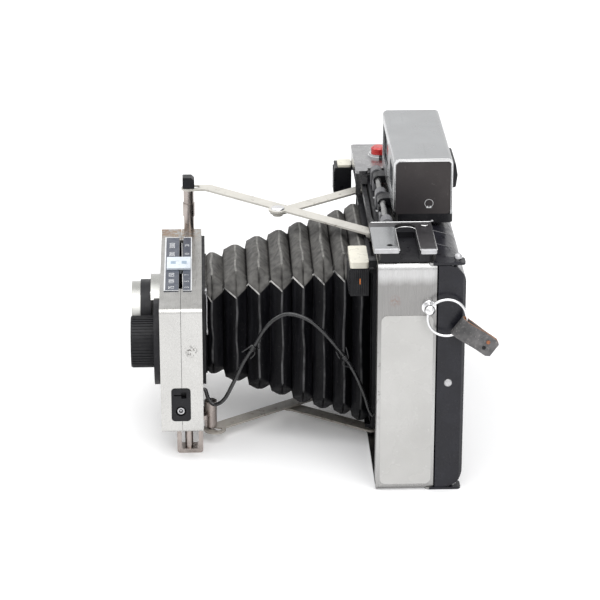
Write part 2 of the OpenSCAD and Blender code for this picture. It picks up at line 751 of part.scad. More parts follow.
module socket_panel() color([0.1, 0.1, 0.11]) difference() {
    union() {
        block_x(std_x - 1.4, std_x + 0.5, std_parting - 5.1, std_parting + 4.1, 21.8, 39.2, 1.6);
        box(std_x - 4, std_x - 1.4, std_parting - 4, std_parting + 3, 23, 38);
    }
    box(std_x - 2.6, std_x + 1, std_parting - 0.4, std_parting + 2.2, 34, 37.4);
    box(std_x - 2, std_x + 1, std_parting - 4, std_parting - 0.2, 35.4, 36);
    rod_x(std_x - 3, std_x + 1, std_parting - 0.6, 27.2, 2.6);
}

module flash_socket() color("silver") {
    difference() {
        rod_x(std_x - 3, std_x + 0.2, std_parting - 0.6, 27.2, 1.75);
        rod_x(std_x - 2.5, std_x + 1, std_parting - 0.6, 27.2, 1.15);
    }
    rod_x(std_x - 3, std_x - 0.4, std_parting - 0.6, 27.2, 0.4);
}

module top_post() color([0.85, 0.78, 0.74]) {
    rod_z(-top_post_x, top_post_y, std_top, top_z - 0.2, 2.7);
    rod_z(-top_post_x, top_post_y, std_top + 8.2, std_top + 15.3, 3.15);
    rod_z(-top_post_x, top_post_y, top_z - 0.4, top_z + strut_t + 0.4, post_pin_r);
}

module post_cap() color([0.07, 0.07, 0.08]) difference() {
    box(-top_post_x - 3.1, -top_post_x + 3.1, top_post_y - 3.1, top_post_y + 3.1,
        top_z + strut_t + 0.4, top_z + strut_t + 6.2);
    translate([-top_post_x, top_post_y + 3.1, top_z + strut_t + 6.2]) rotate([45, 0, 0])
        cube([8, 2.2, 2.2], center = true);
}

module low_post() color([0.85, 0.8, 0.77]) {
    difference() {
        union() {
            rod_z(low_post_x, low_post_y, 7.4, std_z + 6, 3.2);
            block_z(low_post_x - 6, low_post_x + 6, std_back - 9, std_back + 2, std_z - 2.2, std_z, 1.5);
        }
        box(low_post_x - 7, low_post_x + 7, std_back - 9, std_back, std_z, std_z + 8);
    }
    rod_z(low_post_x, low_post_y, low_z - 0.6, 7.5, post_pin_r);
    rod_z(low_post_x, low_post_y, low_z - 1.4, low_z - 0.4, 2.6);
}

foot_x = 50;

module foot() color("silver") {
    difference() {
        union() {
            block_x(foot_x - 8, foot_x, std_back - 13.4, std_back - 0.4, 0, std_z - 2, 1.6);
            box(foot_x - 8, foot_x, std_back - 13.4, std_back - 0.4, std_z - 4, std_z);
        }
        block_x(foot_x - 9, foot_x + 1, std_back - 11.2, std_back - 2.6, 2.2, std_z - 2.5, 1);
    }
    rod_z(foot_x - 3, std_back - 7.4, 2.2, std_z - 2.5, 2);
}

module lens_mount() color("silver") difference() {
    rod_y(0, std_front - 5, std_front, axis_z, mount_r);
    box(eye_x - disc_r - 1, mount_r + 1, std_front - 6, std_front + 1, 0, body_h);
    rod_y(0, std_front - 6, std_front + 1, axis_z, glass_r + 2.5 + run);
}

module lens_ring() color([0.1, 0.1, 0.11]) difference() {
    union() {
        rod_y(0, std_front - 10.3, std_front - 5, axis_z, bezel_r + 1);
        rod_y(0, std_front - 5.5, std_front + 6, axis_z, glass_r + 2.5);
    }
    rod_y(0, std_front - 11, std_front + 7, axis_z, glass_r - 2.5);
    rod_y(0, std_front - 11, std_front - 7, axis_z, glass_r + run);
    rod_y(0, std_front + 1, std_front + 7, axis_z, glass_r - 1.5 + run);
}

module lens_bezel() color("silver") difference() {
    rod_y(0, std_front - 14.8, std_front - 10.3, axis_z, bezel_r);
    translate([0, std_front - 10.3, axis_z]) rotate([90, 0, 0])
        translate([0, 0, -0.01]) cylinder(h = 4.6, r1 = glass_r, r2 = glass_r + 3.6);
}

module lens_glass() color([0.5, 0.55, 0.7, 0.4]) {
    rod_y(0, std_front - 10.2, std_front - 7, axis_z, glass_r);
    rod_y(0, std_front + 1, std_front + 4, axis_z, glass_r - 1.5);
}

board_y = std_front + 7;
blade_pivot = [-20, 38];

module shutter_board() color([0.15, 0.15, 0.16]) difference() {
    block_y(-std_x + cover_wall, std_x - cover_wall - 2.8, board_y, board_y + 1.4,
        std_z + cover_wall, std_top - 5, cover_r - cover_wall);

    rod_y(0, board_y - 1, board_y + 3, axis_z, 9);
    rod_y(blade_pivot[0], board_y - 1, board_y + 3, blade_pivot[1], 1.2 + run);
    box(-51, -46, board_y - 1, board_y + 3, axis_z - 33, axis_z - 10);
}

module shutter_blade() color([0.3, 0.3, 0.31]) difference() {
    union() {
        rod_y(0, board_y + 1.8, board_y + 2.3, axis_z, 11);
        rod_y(blade_pivot[0], board_y + 1.8, board_y + 2.3, blade_pivot[1], 4.2);
        translate([blade_pivot[0], board_y + 2.3, blade_pivot[1]]) rotate([90, -42, 0])
            translate([0, -4, 0]) cube([22, 8, 0.5]);
        rod_y(blade_pivot[0], board_y - 0.8, board_y + 4, blade_pivot[1], 1.2);
    }
}

module circuit_board() color([0.15, 0.35, 0.2]) {
    box(18, std_x - 5.5, board_y + 4.4, board_y + 5.8, 42, 74);
    for (z = [48, 68]) rod_y(24, board_y + 1.4, board_y + 4.4, z, 1.5);
    rod_y(eye_x, board_y + 1.4, board_y + 4.4, axis_z, 3);
}

// ---------------------------------------------------------------- electric eye and controls

module eye_barrel() color([0.09, 0.09, 0.1]) difference() {
    union() {
        rod_y(eye_x, std_front - 14.6, std_front - 2.9, axis_z, eye_r - 0.3);
        rod_y(eye_x, std_front - 3, std_front - 0.3, axis_z, disc_r);
        rod_y(eye_x, std_front - 0.4, std_front + 2.4, axis_z, 8);
        for (a = [0:7.5:352.5]) {
            translate([eye_x, std_front - 3, axis_z]) rotate([90, a, 0])
                translate([eye_r - 0.6, -0.35, 0]) cube([0.6, 0.7, 11]);
        }
    }
    rod_y(eye_x, std_front - 16, std_front + 3, axis_z, 5.5);
    rod_y(eye_x, std_front - 15.6, std_front - 7, axis_z, eye_r - 3);
}

module eye_glass() color([0.6, 0.65, 0.7, 0.5]) {
    rod_y(eye_x, std_front + 3.2, std_front + 4.6, axis_z, 7);
    rod_y(eye_x, std_front - 5, std_front + 3.2, axis_z, 4.6);
    rod_y(eye_x, std_front + 4.6, board_y, axis_z, 4);
}

module cocking_lever() color([0.1, 0.1, 0.11]) {
    block_y(-52, -45, std_front - 6, std_front - slip, axis_z - 19.5, axis_z - 13, 1.2);
    box(-50, -47, std_front - 1, std_front + 3.2, axis_z - 18, axis_z - 14);
    box(-52, -45, std_front + cover_wall + slip, std_front + 3.2, axis_z - 18, axis_z - 14);
}

// ---------------------------------------------------------------- finder

module finder_base() color([0.08, 0.08, 0.09]) difference() {
    union() {
        block_z(finder_far + 0.5, finder_near - 0.5, finder_front + 2.4, finder_back + 0.4,
            body_h + slip, finder_floor, 2.5);
        // knuckles on the rod
        for (x = [-26.6, 8.4]) {
            rod_x(x, x + 9, hinge_y, hinge_z, 2.4);
            box(x, x + 9, hinge_y, finder_front + 3, hinge_z - 1.2, finder_floor);
        }
    }
    rod_x(-60, 80, hinge_y, hinge_z, hinge_r + run);
}

module finder_case() color([0.17, 0.17, 0.18]) difference() {
    block_x(finder_far + 0.6, finder_near - 0.4, finder_front + 1, finder_back - 1,
        finder_floor, finder_top - 1, 1.6);
    block_x(finder_far + 2.4, finder_near - 2.4, finder_front, finder_back - 3,
        finder_floor + 3, finder_top - 4, 1);
    box(8, 34, finder_back - 4, finder_back, finder_floor + 11, finder_floor + 23);
}

module finder_cover() color("silver") difference() {
    block_x(finder_far, finder_near, finder_front, finder_back, finder_floor - 3, finder_top, 2.4);
    block_x(finder_far - 1, finder_near + 1, finder_front + 1, finder_back - 1,
        finder_floor - 4, finder_top - 1, 1.4);
    box(finder_far - 1, finder_near + 1, finder_front - 1, finder_back + 1, 0, finder_floor);
    // view windows in front, eyepiece behind
    box(-34, 2, finder_front - 1, finder_front + 3, finder_floor + 7, finder_floor + 23);
    box(16, 34, finder_front - 1, finder_front + 3, finder_floor + 9, finder_floor + 21);
    box(7, 35, finder_back - 2, finder_back + 1, finder_floor + 10, finder_floor + 24);
}

// ---------------------------------------------------------------- strap and lead

ring_x = near_end + ring_off;
ring_c = [ring_x, lug_y + ring_r * cos(ring_tilt), lug_z - ring_r * sin(ring_tilt)];

module strap_ring() color("silver") {
    translate(ring_c) rotate([0, 90, 0]) rotate_extrude() translate([ring_r, 0]) circle(ring_wire);
}

// Folded leather tab, riveted to itself round the ring
tab_w = 9.6;
tab_l = 19;
tab_t = 1.4;
tab_angle = 36;

module strap_tab() color([0.3, 0.28, 0.27]) {
    hold = ring_wire + 1.45;
    loop_l = 11;
    place = [ring_x, ring_c[1] + ring_r * cos(tab_angle), ring_c[2] - ring_r * sin(tab_angle)];
    translate(place) rotate([-tab_angle, 0, 0]) {
        translate([0, 0, -tab_w / 2]) linear_extrude(tab_w) difference() {
            union() {
                circle(hold + tab_t);
                polygon([[-hold - tab_t, 0], [hold + tab_t, 0], [tab_t, loop_l], [tab_t, tab_l],
                    [-tab_t, tab_l], [-tab_t, loop_l]]);
            }
            circle(hold);
            polygon([[-hold, 0], [hold, 0], [0, loop_l]]);
        }
        for (z = [-1.7, 1.7]) translate([0, tab_l - 5, z]) rotate([0, 90, 0])
            cylinder(h = 2 * tab_t + 0.6, r = 1, center = true);
    }
}

function unit(v) = v / norm(v);
function lead_way(i) = unit(lead_path[min(i + 1, len(lead_path) - 1)] - lead_path[max(i - 1, 0)]);

module release_lead() color([0.06, 0.06, 0.07]) {
    sides = 8;
    n = len(lead_path);
    rings = [for (i = [0:n - 1])
        let (w = lead_way(i), a = unit(cross(w, [1, 0, 0])), b = cross(w, a))
        for (k = [0:sides - 1]) lead_path[i] + lead_r * (cos(45 * k) * a + sin(45 * k) * b)];
    walls = [for (i = [0:n - 2]) for (k = [0:sides - 1]) for (t = [0, 1])
        let (p = sides * i + k, q = sides * i + (k + 1) % sides)
        t == 0 ? [p, q, q + sides] : [p, q + sides, p + sides]];
    ends = [[for (k = [0:sides - 1]) sides - 1 - k], [for (k = [0:sides - 1]) sides * (n - 1) + k]];
    polyhedron(points = rings, faces = concat(walls, ends));
}

body_shell();
body_frame();
top_deck();
release_housing();
button_collar();
shutter_button();
hinge_bracket();
hinge_rod();
flash_base();
flash_plate();
flash_clip();
sticker();
strap_lugs();
tripod_bush();
door_pin();
back_door();
pressure_plate();
door_latch();
roller_frame();
front_roller();
rear_roller();
battery();
battery_clip();
guide_rods();
carriage();
bellows();
top_brace();
top_arm();
low_brace();
low_arm();
focus_bar();
focus_caps();
focus_grips();
front_cover();
rear_cover();
bellows_plate();
scale_plates();
speed_slider();
socket_panel();
flash_socket();
top_post();
post_cap();
low_post();
foot();
lens_mount();
lens_ring();
lens_bezel();
lens_glass();
shutter_board();
shutter_blade();
circuit_board();
eye_barrel();
eye_glass();
cocking_lever();
finder_base();
finder_case();
finder_cover();
strap_ring();
strap_tab();
release_lead();
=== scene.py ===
"""Looks of the folding pack-film camera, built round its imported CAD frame.

All other lengths and places are in mm, in the row frame.
"""
import math
import random
from collections import namedtuple

import bpy
from mathutils import Matrix, Vector


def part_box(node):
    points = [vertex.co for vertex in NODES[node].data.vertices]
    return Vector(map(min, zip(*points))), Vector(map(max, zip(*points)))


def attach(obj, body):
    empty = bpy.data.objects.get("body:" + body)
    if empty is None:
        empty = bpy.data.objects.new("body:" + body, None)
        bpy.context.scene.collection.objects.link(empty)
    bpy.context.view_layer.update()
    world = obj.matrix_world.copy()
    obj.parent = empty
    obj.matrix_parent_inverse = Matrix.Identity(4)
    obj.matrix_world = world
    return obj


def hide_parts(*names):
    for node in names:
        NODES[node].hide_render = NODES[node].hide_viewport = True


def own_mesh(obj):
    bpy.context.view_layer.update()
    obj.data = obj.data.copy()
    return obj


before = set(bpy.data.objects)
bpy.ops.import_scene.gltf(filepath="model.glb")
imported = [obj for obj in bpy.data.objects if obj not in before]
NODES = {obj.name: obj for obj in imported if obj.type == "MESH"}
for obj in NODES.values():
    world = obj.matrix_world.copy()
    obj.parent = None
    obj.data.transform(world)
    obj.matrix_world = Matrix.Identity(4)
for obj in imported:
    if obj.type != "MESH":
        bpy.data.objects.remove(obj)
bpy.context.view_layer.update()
MM = 0.001
scene = bpy.context.scene
rng = random.Random(7)

# places of the frame that several looks share
AXIS_Z = 56.0        # the lens axis
NEAR_END = 97.5      # the body's end face beside the flash shoe
STD_NEAR = 59.5      # the standard's side towards that end
SEAM_Y = 14.0        # where the back door meets the body
BACK_Y = 28.0        # the back door's outer face
DECK_Z = 114.5       # the deck in front of the finder
SHOE_Z = 124.0       # the flash shoe's upper face


def mm(*v):
    return Vector(v) * MM


def span(node, axis):
    """Where a node's box starts and ends along one axis."""
    lo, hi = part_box(node)
    n = "XYZ".index(axis)
    return lo[n] / MM, hi[n] / MM


# ---------------------------------------------------------------- camera, light and floor

def link_nodes(tree, *pairs):
    for source, target in pairs:
        tree.links.new(source, target)


def seen_directly(tree, path):
    """One for camera, mirror and glass rays, so that reflections see what the camera sees."""
    total = path.outputs["Is Camera Ray"]
    for other in ("Is Transmission Ray", "Is Glossy Ray"):
        add = tree.nodes.new("ShaderNodeMath")
        add.operation = "ADD"
        add.use_clamp = True
        tree.links.new(total, add.inputs[0])
        tree.links.new(path.outputs[other], add.inputs[1])
        total = add.outputs[0]
    return total


def set_camera():
    cam = bpy.data.objects.new("camera", bpy.data.cameras.new("camera"))
    scene.collection.objects.link(cam)
    cam.data.lens = 153.2
    cam.data.sensor_width = 36
    cam.data.shift_x = -0.0032
    cam.data.shift_y = 0.0062
    cam.data.clip_end = 50
    cam.location = (1.222, -0.0932, 0.5394)
    yaw, pitch = math.radians(-2.2), math.radians(21.4)
    look = Vector((-math.cos(pitch) * math.cos(yaw), -math.cos(pitch) * math.sin(yaw), -math.sin(pitch)))
    cam.rotation_euler = look.to_track_quat("-Z", "Y").to_euler()
    scene.camera = cam
    scene.view_settings.view_transform = "Standard"


def set_lamps():
    subject = Vector((0, -0.03, 0.06))
    for name, place, size, power in (
        ("key", (-0.2, -1.1, 1.6), 1.3, 12.0),
        ("near_fill", (1.6, 0.6, 1.1), 1.2, 8.0),
        ("top", (0.0, 0.5, 1.9), 1.5, 9.0),
        ("bend", (0.62, 0.0, 1.5), 1.3, 10.0),
    ):
        data = bpy.data.lights.new(name, "AREA")
        data.size = size
        data.energy = power
        lamp = bpy.data.objects.new(name, data)
        lamp.location = place
        lamp.rotation_euler = (subject - Vector(place)).to_track_quat("-Z", "Y").to_euler()
        scene.collection.objects.link(lamp)


def set_world():
    """A white room that lights the object a little less brightly than it shows itself."""
    world = bpy.data.worlds.new("studio")
    scene.world = world
    world.use_nodes = True
    tree = world.node_tree
    back = tree.nodes["Background"]
    back.inputs["Color"].default_value = (1, 1, 1, 1)
    path = tree.nodes.new("ShaderNodeLightPath")
    level = tree.nodes.new("ShaderNodeMapRange")
    level.inputs["To Min"].default_value = 0.62
    level.inputs["To Max"].default_value = 1.0
    link_nodes(tree, (seen_directly(tree, path), level.inputs["Value"]),
               (level.outputs[0], back.inputs["Strength"]))


def set_floor():
    """A white floor that glows slightly where it is seen, so that it fades into the room."""
    bpy.ops.mesh.primitive_plane_add(size=12)
    floor = bpy.context.object
    floor.name = "floor"
    mat = bpy.data.materials.new("floor")
    mat.use_nodes = True
    tree = mat.node_tree
    shader = tree.nodes["Principled BSDF"]
    shader.inputs["Base Color"].default_value = (0.93, 0.93, 0.935, 1)
    shader.inputs["Roughness"].default_value = 0.35
    shader.inputs["Specular IOR Level"].default_value = 0.3
    glow = tree.nodes.new("ShaderNodeEmission")
    glow.inputs["Color"].default_value = (1, 1, 1, 1)
    path = tree.nodes.new("ShaderNodeLightPath")
    amount = tree.nodes.new("ShaderNodeMath")
    amount.operation = "MULTIPLY"
    amount.inputs[1].default_value = 0.12
    both = tree.nodes.new("ShaderNodeAddShader")
    link_nodes(tree, (seen_directly(tree, path), amount.inputs[0]),
               (amount.outputs[0], glow.inputs["Strength"]),
               (shader.outputs[0], both.inputs[0]), (glow.outputs[0], both.inputs[1]),
               (both.outputs[0], tree.nodes["Material Output"].inputs["Surface"]))
    floor.data.materials.append(mat)


set_camera()
set_lamps()
set_world()
set_floor()


# ---------------------------------------------------------------- materials

M = {}


def rgba(c):
    return (c[0], c[1], c[2], 1.0)


class Finish:
    """A procedural material, kept in M by its name. Noise is placed by the row frame, in metres."""

    def __init__(self, name, colour, rough, metal=0.0, coat=0.0, **fixed):
        M[name] = self
        self.mat = bpy.data.materials.new(name)
        self.mat.use_nodes = True
        self.tree = self.mat.node_tree
        self.shader = self.tree.nodes["Principled BSDF"]
        self.height = None
        self.shader.inputs["Metallic"].default_value = metal
        self.shader.inputs["Coat Weight"].default_value = coat
        self.shader.inputs["Coat Roughness"].default_value = 0.12
        self.shader.inputs["Base Color"].default_value = rgba(colour)
        self.shader.inputs["Roughness"].default_value = rough
        for key, value in fixed.items():
            self.shader.inputs[key.replace("_", " ")].default_value = value
        self.where = self.tree.nodes.new("ShaderNodeTexCoord").outputs["Object"]

    def node(self, kind, links=(), **values):
        n = self.tree.nodes.new(kind)
        for key, value in values.items():
            setattr(n, key, value)
        for slot, source in links:
            if hasattr(source, "is_linked"):
                self.tree.links.new(source, n.inputs[slot])
            else:
                n.inputs[slot].default_value = source
        return n

    def noise(self, scale, stretch=(1, 1, 1), detail=3.0, shift=0.0):
        place = self.node("ShaderNodeMapping", [("Vector", self.where), ("Scale", stretch),
                                                ("Location", (shift, shift * 0.7, -shift))])
        return self.node("ShaderNodeTexNoise", [("Vector", place.outputs[0]), ("Scale", scale),
                                                ("Detail", detail)]).outputs["Fac"]

    def ramp(self, value, low, high, out_low=0.0, out_high=1.0):
        return self.node("ShaderNodeMapRange", [("Value", value), ("From Min", low), ("From Max", high),
                                                ("To Min", out_low), ("To Max", out_high)]).outputs[0]

    def times(self, a, b):
        return self.node("ShaderNodeMath", [(0, a), (1, b)], operation="MULTIPLY").outputs[0]

    def tint(self, fac, colour):
        """Mixes another colour over what the base colour is so far."""
        base = self.shader.inputs["Base Color"]
        old = base.links[0].from_socket if base.links else base.default_value[:]
        n = self.node("ShaderNodeMix", [(0, fac), (6, old), (7, rgba(colour))], data_type="RGBA")
        self.tree.links.new(n.outputs[2], base)
        return self

    def mottle(self, colour, scale=60, stretch=(1, 1, 1), low=0.35, high=0.7, amount=1.0, detail=4.0,
               shift=0.0):
        """Spots of another colour, streaks where the noise is stretched."""
        fac = self.ramp(self.noise(scale, stretch, detail, shift), low, high, 0.0, amount)
        return self.tint(fac, colour)

    def near(self, point, radius, colour, scale=400, low=0.45, high=0.55, amount=1.0):
        """Stains and chips round one place; also painted highlights and painted shade."""
        away = self.node("ShaderNodeVectorMath", [(0, self.where), (1, mm(*point))], operation="DISTANCE")
        inside = self.ramp(away.outputs["Value"], radius * MM, radius * MM * 0.3)
        fac = self.times(inside, self.ramp(self.noise(scale, detail=5), low, high, 0.0, amount))
        return self.tint(fac, colour)

    def gloss(self, low, high, scale=200, stretch=(1, 1, 1)):
        fac = self.ramp(self.noise(scale, stretch, 3.0, 3.1), 0.3, 0.7, low, high)
        self.tree.links.new(fac, self.shader.inputs["Roughness"])
        return self

    def bump(self, scale, depth, stretch=(1, 1, 1), detail=3.0):
        n = self.node("ShaderNodeBump", [("Height", self.noise(scale, stretch, detail, 1.7)),
                                         ("Strength", 1.0), ("Distance", depth * MM)])
        if self.height:
            self.tree.links.new(self.height, n.inputs["Normal"])
        self.height = n.outputs[0]
        self.tree.links.new(self.height, self.shader.inputs["Normal"])
        return self

    def painted_facing_light(self, axis, low, high, colour, scale=300, amount=1.0):
        """Painted light and shade on faces that point along +X, +Y or +Z, patchy with noise."""
        turn = self.node("ShaderNodeSeparateXYZ", [(0, self.node("ShaderNodeTexCoord").outputs["Normal"])])
        side = self.ramp(turn.outputs["XYZ".index(axis)], low, high)
        fac = self.times(side, self.ramp(self.noise(scale, detail=5, shift=2.2), 0.25, 0.7, 0.25, amount))
        return self.tint(fac, colour)


def brushed(name, colour, dark, stretch, rough):
    """Metal with fine scratches along one direction."""
    f = Finish(name, colour, rough, metal=1.0)
    f.mottle(dark, 1.0, stretch, 0.35, 0.75, 0.55)
    f.mottle(tuple(c * 0.8 for c in colour), 45, (1, 1, 1), 0.45, 0.75, 0.5, shift=5.0)
    bright, fine = tuple(min(1, c * 1.25) for c in colour), tuple(s * 1.7 for s in stretch)
    f.mottle(bright, 1.0, fine, 0.66, 0.7, 0.5, shift=9.0)
    f.gloss(rough - 0.1, rough + 0.14, 1.0, stretch)
    f.bump(1.0, 0.012, stretch, 2.0)
    return f


def plastic(name, colour, rough=0.42, wear=(0.12, 0.12, 0.12), grain=0.02, coat=0.0):
    """Plastic or black paint, worn in patches and pin-pricked."""
    f = Finish(name, colour, rough, coat=coat, Specular_IOR_Level=0.26)
    f.mottle(wear, 90, (1, 1, 1), 0.45, 0.8, 0.45)
    f.mottle(tuple(min(1, c * 1.6 + 0.02) for c in wear), 900, (1, 1, 1), 0.66, 0.72, 0.4, shift=4.0)
    f.gloss(rough - 0.1, rough + 0.15, 260)
    f.bump(2600, grain)
    return f


def enamel(name, colour, bare, rough=0.36, chips=0.64):
    """Paint, chipped to what is under it."""
    f = Finish(name, colour, rough, coat=0.15)
    f.mottle(tuple(c * 0.78 for c in colour), 130, (1, 1, 1), 0.4, 0.75, 0.6)
    f.mottle(bare, 420, (1, 1, 1), chips, chips + 0.05, 0.8, detail=6, shift=3.0)
    f.mottle(tuple(c * 0.5 for c in bare), 60, (1, 1, 1), 0.62, 0.75, 0.35, shift=8.0)
    f.gloss(rough - 0.08, rough + 0.18, 300)
    f.bump(700, 0.015)
    return f


def polished(name, colour, rough=0.12, smudge=0.75):
    """Bright metal with smudges and small pits."""
    f = Finish(name, colour, rough, metal=1.0)
    f.mottle(tuple(c * smudge for c in colour), 160, (1, 1, 1), 0.4, 0.75, 0.8)
    f.mottle(tuple(c * 0.45 for c in colour), 900, (1, 1, 1), 0.68, 0.74, 0.6, detail=6, shift=6.0)
    f.gloss(rough * 0.6, rough * 2.2, 350)
    f.bump(500, 0.006)
    return f


def metal_finishes():
    body = brushed("body_metal", (0.285, 0.28, 0.275), (0.215, 0.212, 0.208), (3200, 3200, 40), 0.28)
    body.near((NEAR_END, -5.8, 99.0), 3.5, (0.24, 0.15, 0.13), 900, 0.45, 0.6, 0.6)
    # painted highlight: these four spots make a bright band along the bend under the shoe, where the lamp
    # shines on the metal
    for y in (-11, -4, 3, 10):  # bright band along the bend under the shoe
        body.near((NEAR_END, y, 113.0), 6.5, (0.55, 0.55, 0.55), 60, 0.0, 0.1, 0.8)
    # painted light: the lower end face lighter, which leaves a darker strip of painted shade under the bend
    body.near((NEAR_END, 0, 38), 52, (0.5, 0.5, 0.49), 60, 0.0, 0.1, 0.75)
    body.near((NEAR_END, -13.0, 60.0), 30, (0.2, 0.19, 0.18), 500, 0.6, 0.66, 0.7)

    standard = brushed("standard_metal", (0.58, 0.575, 0.56), (0.44, 0.435, 0.42), (60, 2400, 2400), 0.3)
    # painted shade: the standard's upward faces darker than its sides
    standard.painted_facing_light("Z", 0.7, 0.95, (0.36, 0.355, 0.34), 200, 0.85)
    standard.near((-54, -119, 81), 13, (0.28, 0.14, 0.06), 330, 0.42, 0.55, 0.8)
    standard.near((-50, -108, 81), 16, (0.34, 0.22, 0.12), 520, 0.5, 0.58, 0.7)
    standard.near((STD_NEAR, -103, 59), 3.8, (0.06, 0.055, 0.05), 1150, 0.52, 0.56, 0.9)
    standard.near((STD_NEAR, -110, 45), 30, (0.34, 0.32, 0.3), 1100, 0.68, 0.72, 0.6)

    finder = Finish("finder_metal", (0.44, 0.45, 0.46), 0.26, metal=1.0)
    finder.mottle((0.36, 0.365, 0.37), 45, amount=0.5)
    finder.mottle((0.3, 0.3, 0.3), 1.0, (30, 900, 900), 0.6, 0.8, 0.3, shift=4)
    finder.gloss(0.2, 0.3, 60).bump(1.0, 0.003, (40, 2000, 2000))

    platform = Finish("platform_metal", (0.42, 0.42, 0.425), 0.24, metal=1.0)
    platform.mottle((0.2, 0.2, 0.21), 70, amount=0.7)
    platform.mottle((0.6, 0.6, 0.6), 500, low=0.6, high=0.68, amount=0.4, shift=4)
    platform.gloss(0.16, 0.32, 90).bump(400, 0.004)

    rim = Finish("rim", (0.70, 0.70, 0.705), 0.2, metal=1.0)
    rim.mottle((0.58, 0.58, 0.58), 120, amount=0.6).gloss(0.16, 0.28, 90)
    polished("chrome", (0.80, 0.80, 0.81), 0.10)
    polished("worn_chrome", (0.36, 0.36, 0.355), 0.24, 0.6)
    ring = Finish("white_ring", (0.52, 0.52, 0.50), 0.3, metal=1.0)
    ring.mottle((0.44, 0.44, 0.42), 80).gloss(0.24, 0.36, 120).bump(400, 0.004)
    nickel = Finish("nickel", (0.42, 0.375, 0.35), 0.3, metal=1.0)
    nickel.mottle((0.3, 0.26, 0.24), 110).gloss(0.22, 0.38, 200).bump(500, 0.005)
    polished("steel", (0.5, 0.5, 0.51), 0.3, 0.7)
    prong = Finish("grey_prong", (0.05, 0.048, 0.052), 0.36, metal=0.6)
    prong.mottle((0.075, 0.072, 0.075), 60).gloss(0.28, 0.44, 160).bump(900, 0.008)
    polished("brass", (0.42, 0.28, 0.14), 0.34, 0.6)
    polished("copper", (0.36, 0.16, 0.09), 0.34, 0.6)


def plastic_finishes():
    plastic("black", (0.008, 0.008, 0.010), 0.36, (0.028, 0.028, 0.03))
    plastic("black_matte", (0.014, 0.014, 0.015), 0.62, (0.05, 0.05, 0.052), 0.03)
    plastic("barrel", (0.008, 0.008, 0.010), 0.45, (0.02, 0.02, 0.021))
    plastic("door", (0.010, 0.010, 0.014), 0.3, (0.024, 0.025, 0.034), 0.03, 0.12)
    case = plastic("case_grey", (0.050, 0.044, 0.044), 0.5, (0.085, 0.076, 0.076), 0.03)
    # painted shade: the case's near face darker towards its lower part
    case.near((42, 0, 124), 26, (0.022, 0.019, 0.021), 18, 0.2, 0.6, 0.9)
    plastic("hinge_grey", (0.16, 0.16, 0.17), 0.4, (0.25, 0.25, 0.25))
    red = Finish("red", (0.62, 0.018, 0.014), 0.3, coat=0.4)
    red.mottle((0.4, 0.01, 0.01), 300).gloss(0.2, 0.4).bump(800, 0.01)


def enamel_finishes():
    enamel("enamel", (0.58, 0.56, 0.51), (0.26, 0.23, 0.2))
    # painted shade: a darker copy of the arms' enamel, for the low arm and brace that stand in shade
    enamel("painted_shade_enamel", (0.40, 0.37, 0.33), (0.2, 0.17, 0.14), 0.4, 0.6)
    enamel("ivory", (0.78, 0.75, 0.64), (0.42, 0.38, 0.3), 0.3, 0.72)
    enamel("white", (0.66, 0.72, 0.78), (0.4, 0.46, 0.54), 0.3, 0.7)
    enamel("scale_blue", (0.045, 0.055, 0.08), (0.12, 0.13, 0.16), 0.35, 0.66)
    enamel("window_blue", (0.30, 0.40, 0.5), (0.16, 0.2, 0.26), 0.3, 0.66)
    enamel("print", (0.72, 0.73, 0.74), (0.4, 0.4, 0.42), 0.5, 0.75)
    enamel("orange", (0.8, 0.22, 0.03), (0.5, 0.15, 0.05), 0.5, 0.75)
    enamel("board", (0.03, 0.13, 0.06), (0.4, 0.3, 0.12), 0.4, 0.66)
    enamel("battery", (0.07, 0.085, 0.13), (0.3, 0.3, 0.3), 0.3, 0.74)


def cloth_finishes():
    """Bellows cloth: black at the sides and pale on top by painted light, darker in the valleys by painted
    shade, worn along the ridges, and worn at the upper corners with a painted highlight.
    """
    cloth = Finish("cloth", (0.002, 0.002, 0.003), 0.55, Specular_IOR_Level=0.14)
    cloth.mottle((0.012, 0.012, 0.015), 1.0, (420, 420, 40), 0.5, 0.8, 0.8)
    # painted light: the cloth's upward faces pale
    cloth.painted_facing_light("Z", 0.18, 0.42, (0.15, 0.146, 0.138), 260, 0.8)
    cloth.mottle((0.13, 0.125, 0.12), 1500, low=0.66, high=0.72, amount=0.35, detail=6, shift=5)
    cloth.gloss(0.4, 0.62, 300).bump(2200, 0.04).bump(300, 0.07)
    ridge = Finish("ridge", (0.012, 0.012, 0.013), 0.5, Specular_IOR_Level=0.35)
    ridge.mottle((0.09, 0.09, 0.094), 130, low=0.36, high=0.62, detail=6, amount=0.8)
    # painted light: the ridges' upward faces paler than the rest of the cloth
    ridge.gloss(0.4, 0.65).bump(1600, 0.05).painted_facing_light("Z", 0.18, 0.42, (0.23, 0.225, 0.21), 320, 1.0)
    # painted shade: the valleys darker than the rest of the cloth, their upward faces given less painted
    # light
    valley_shade = Finish("valley_shade_cloth", (0.0015, 0.0015, 0.002), 0.6, Specular_IOR_Level=0.1)
    valley_shade.mottle((0.01, 0.01, 0.012), 300).painted_facing_light("Z", 0.18, 0.42, (0.06, 0.058, 0.054), 420)
    valley_shade.gloss(0.5, 0.7, 300).bump(1200, 0.06)
    # worn, with a painted highlight: pale strips on the forward slopes of the upper corners
    worn = Finish("worn_fold_highlight", (0.07, 0.07, 0.07), 0.42)
    worn.mottle((0.55, 0.54, 0.52), 210, low=0.34, high=0.56, detail=6).gloss(0.35, 0.6).bump(1600, 0.05)


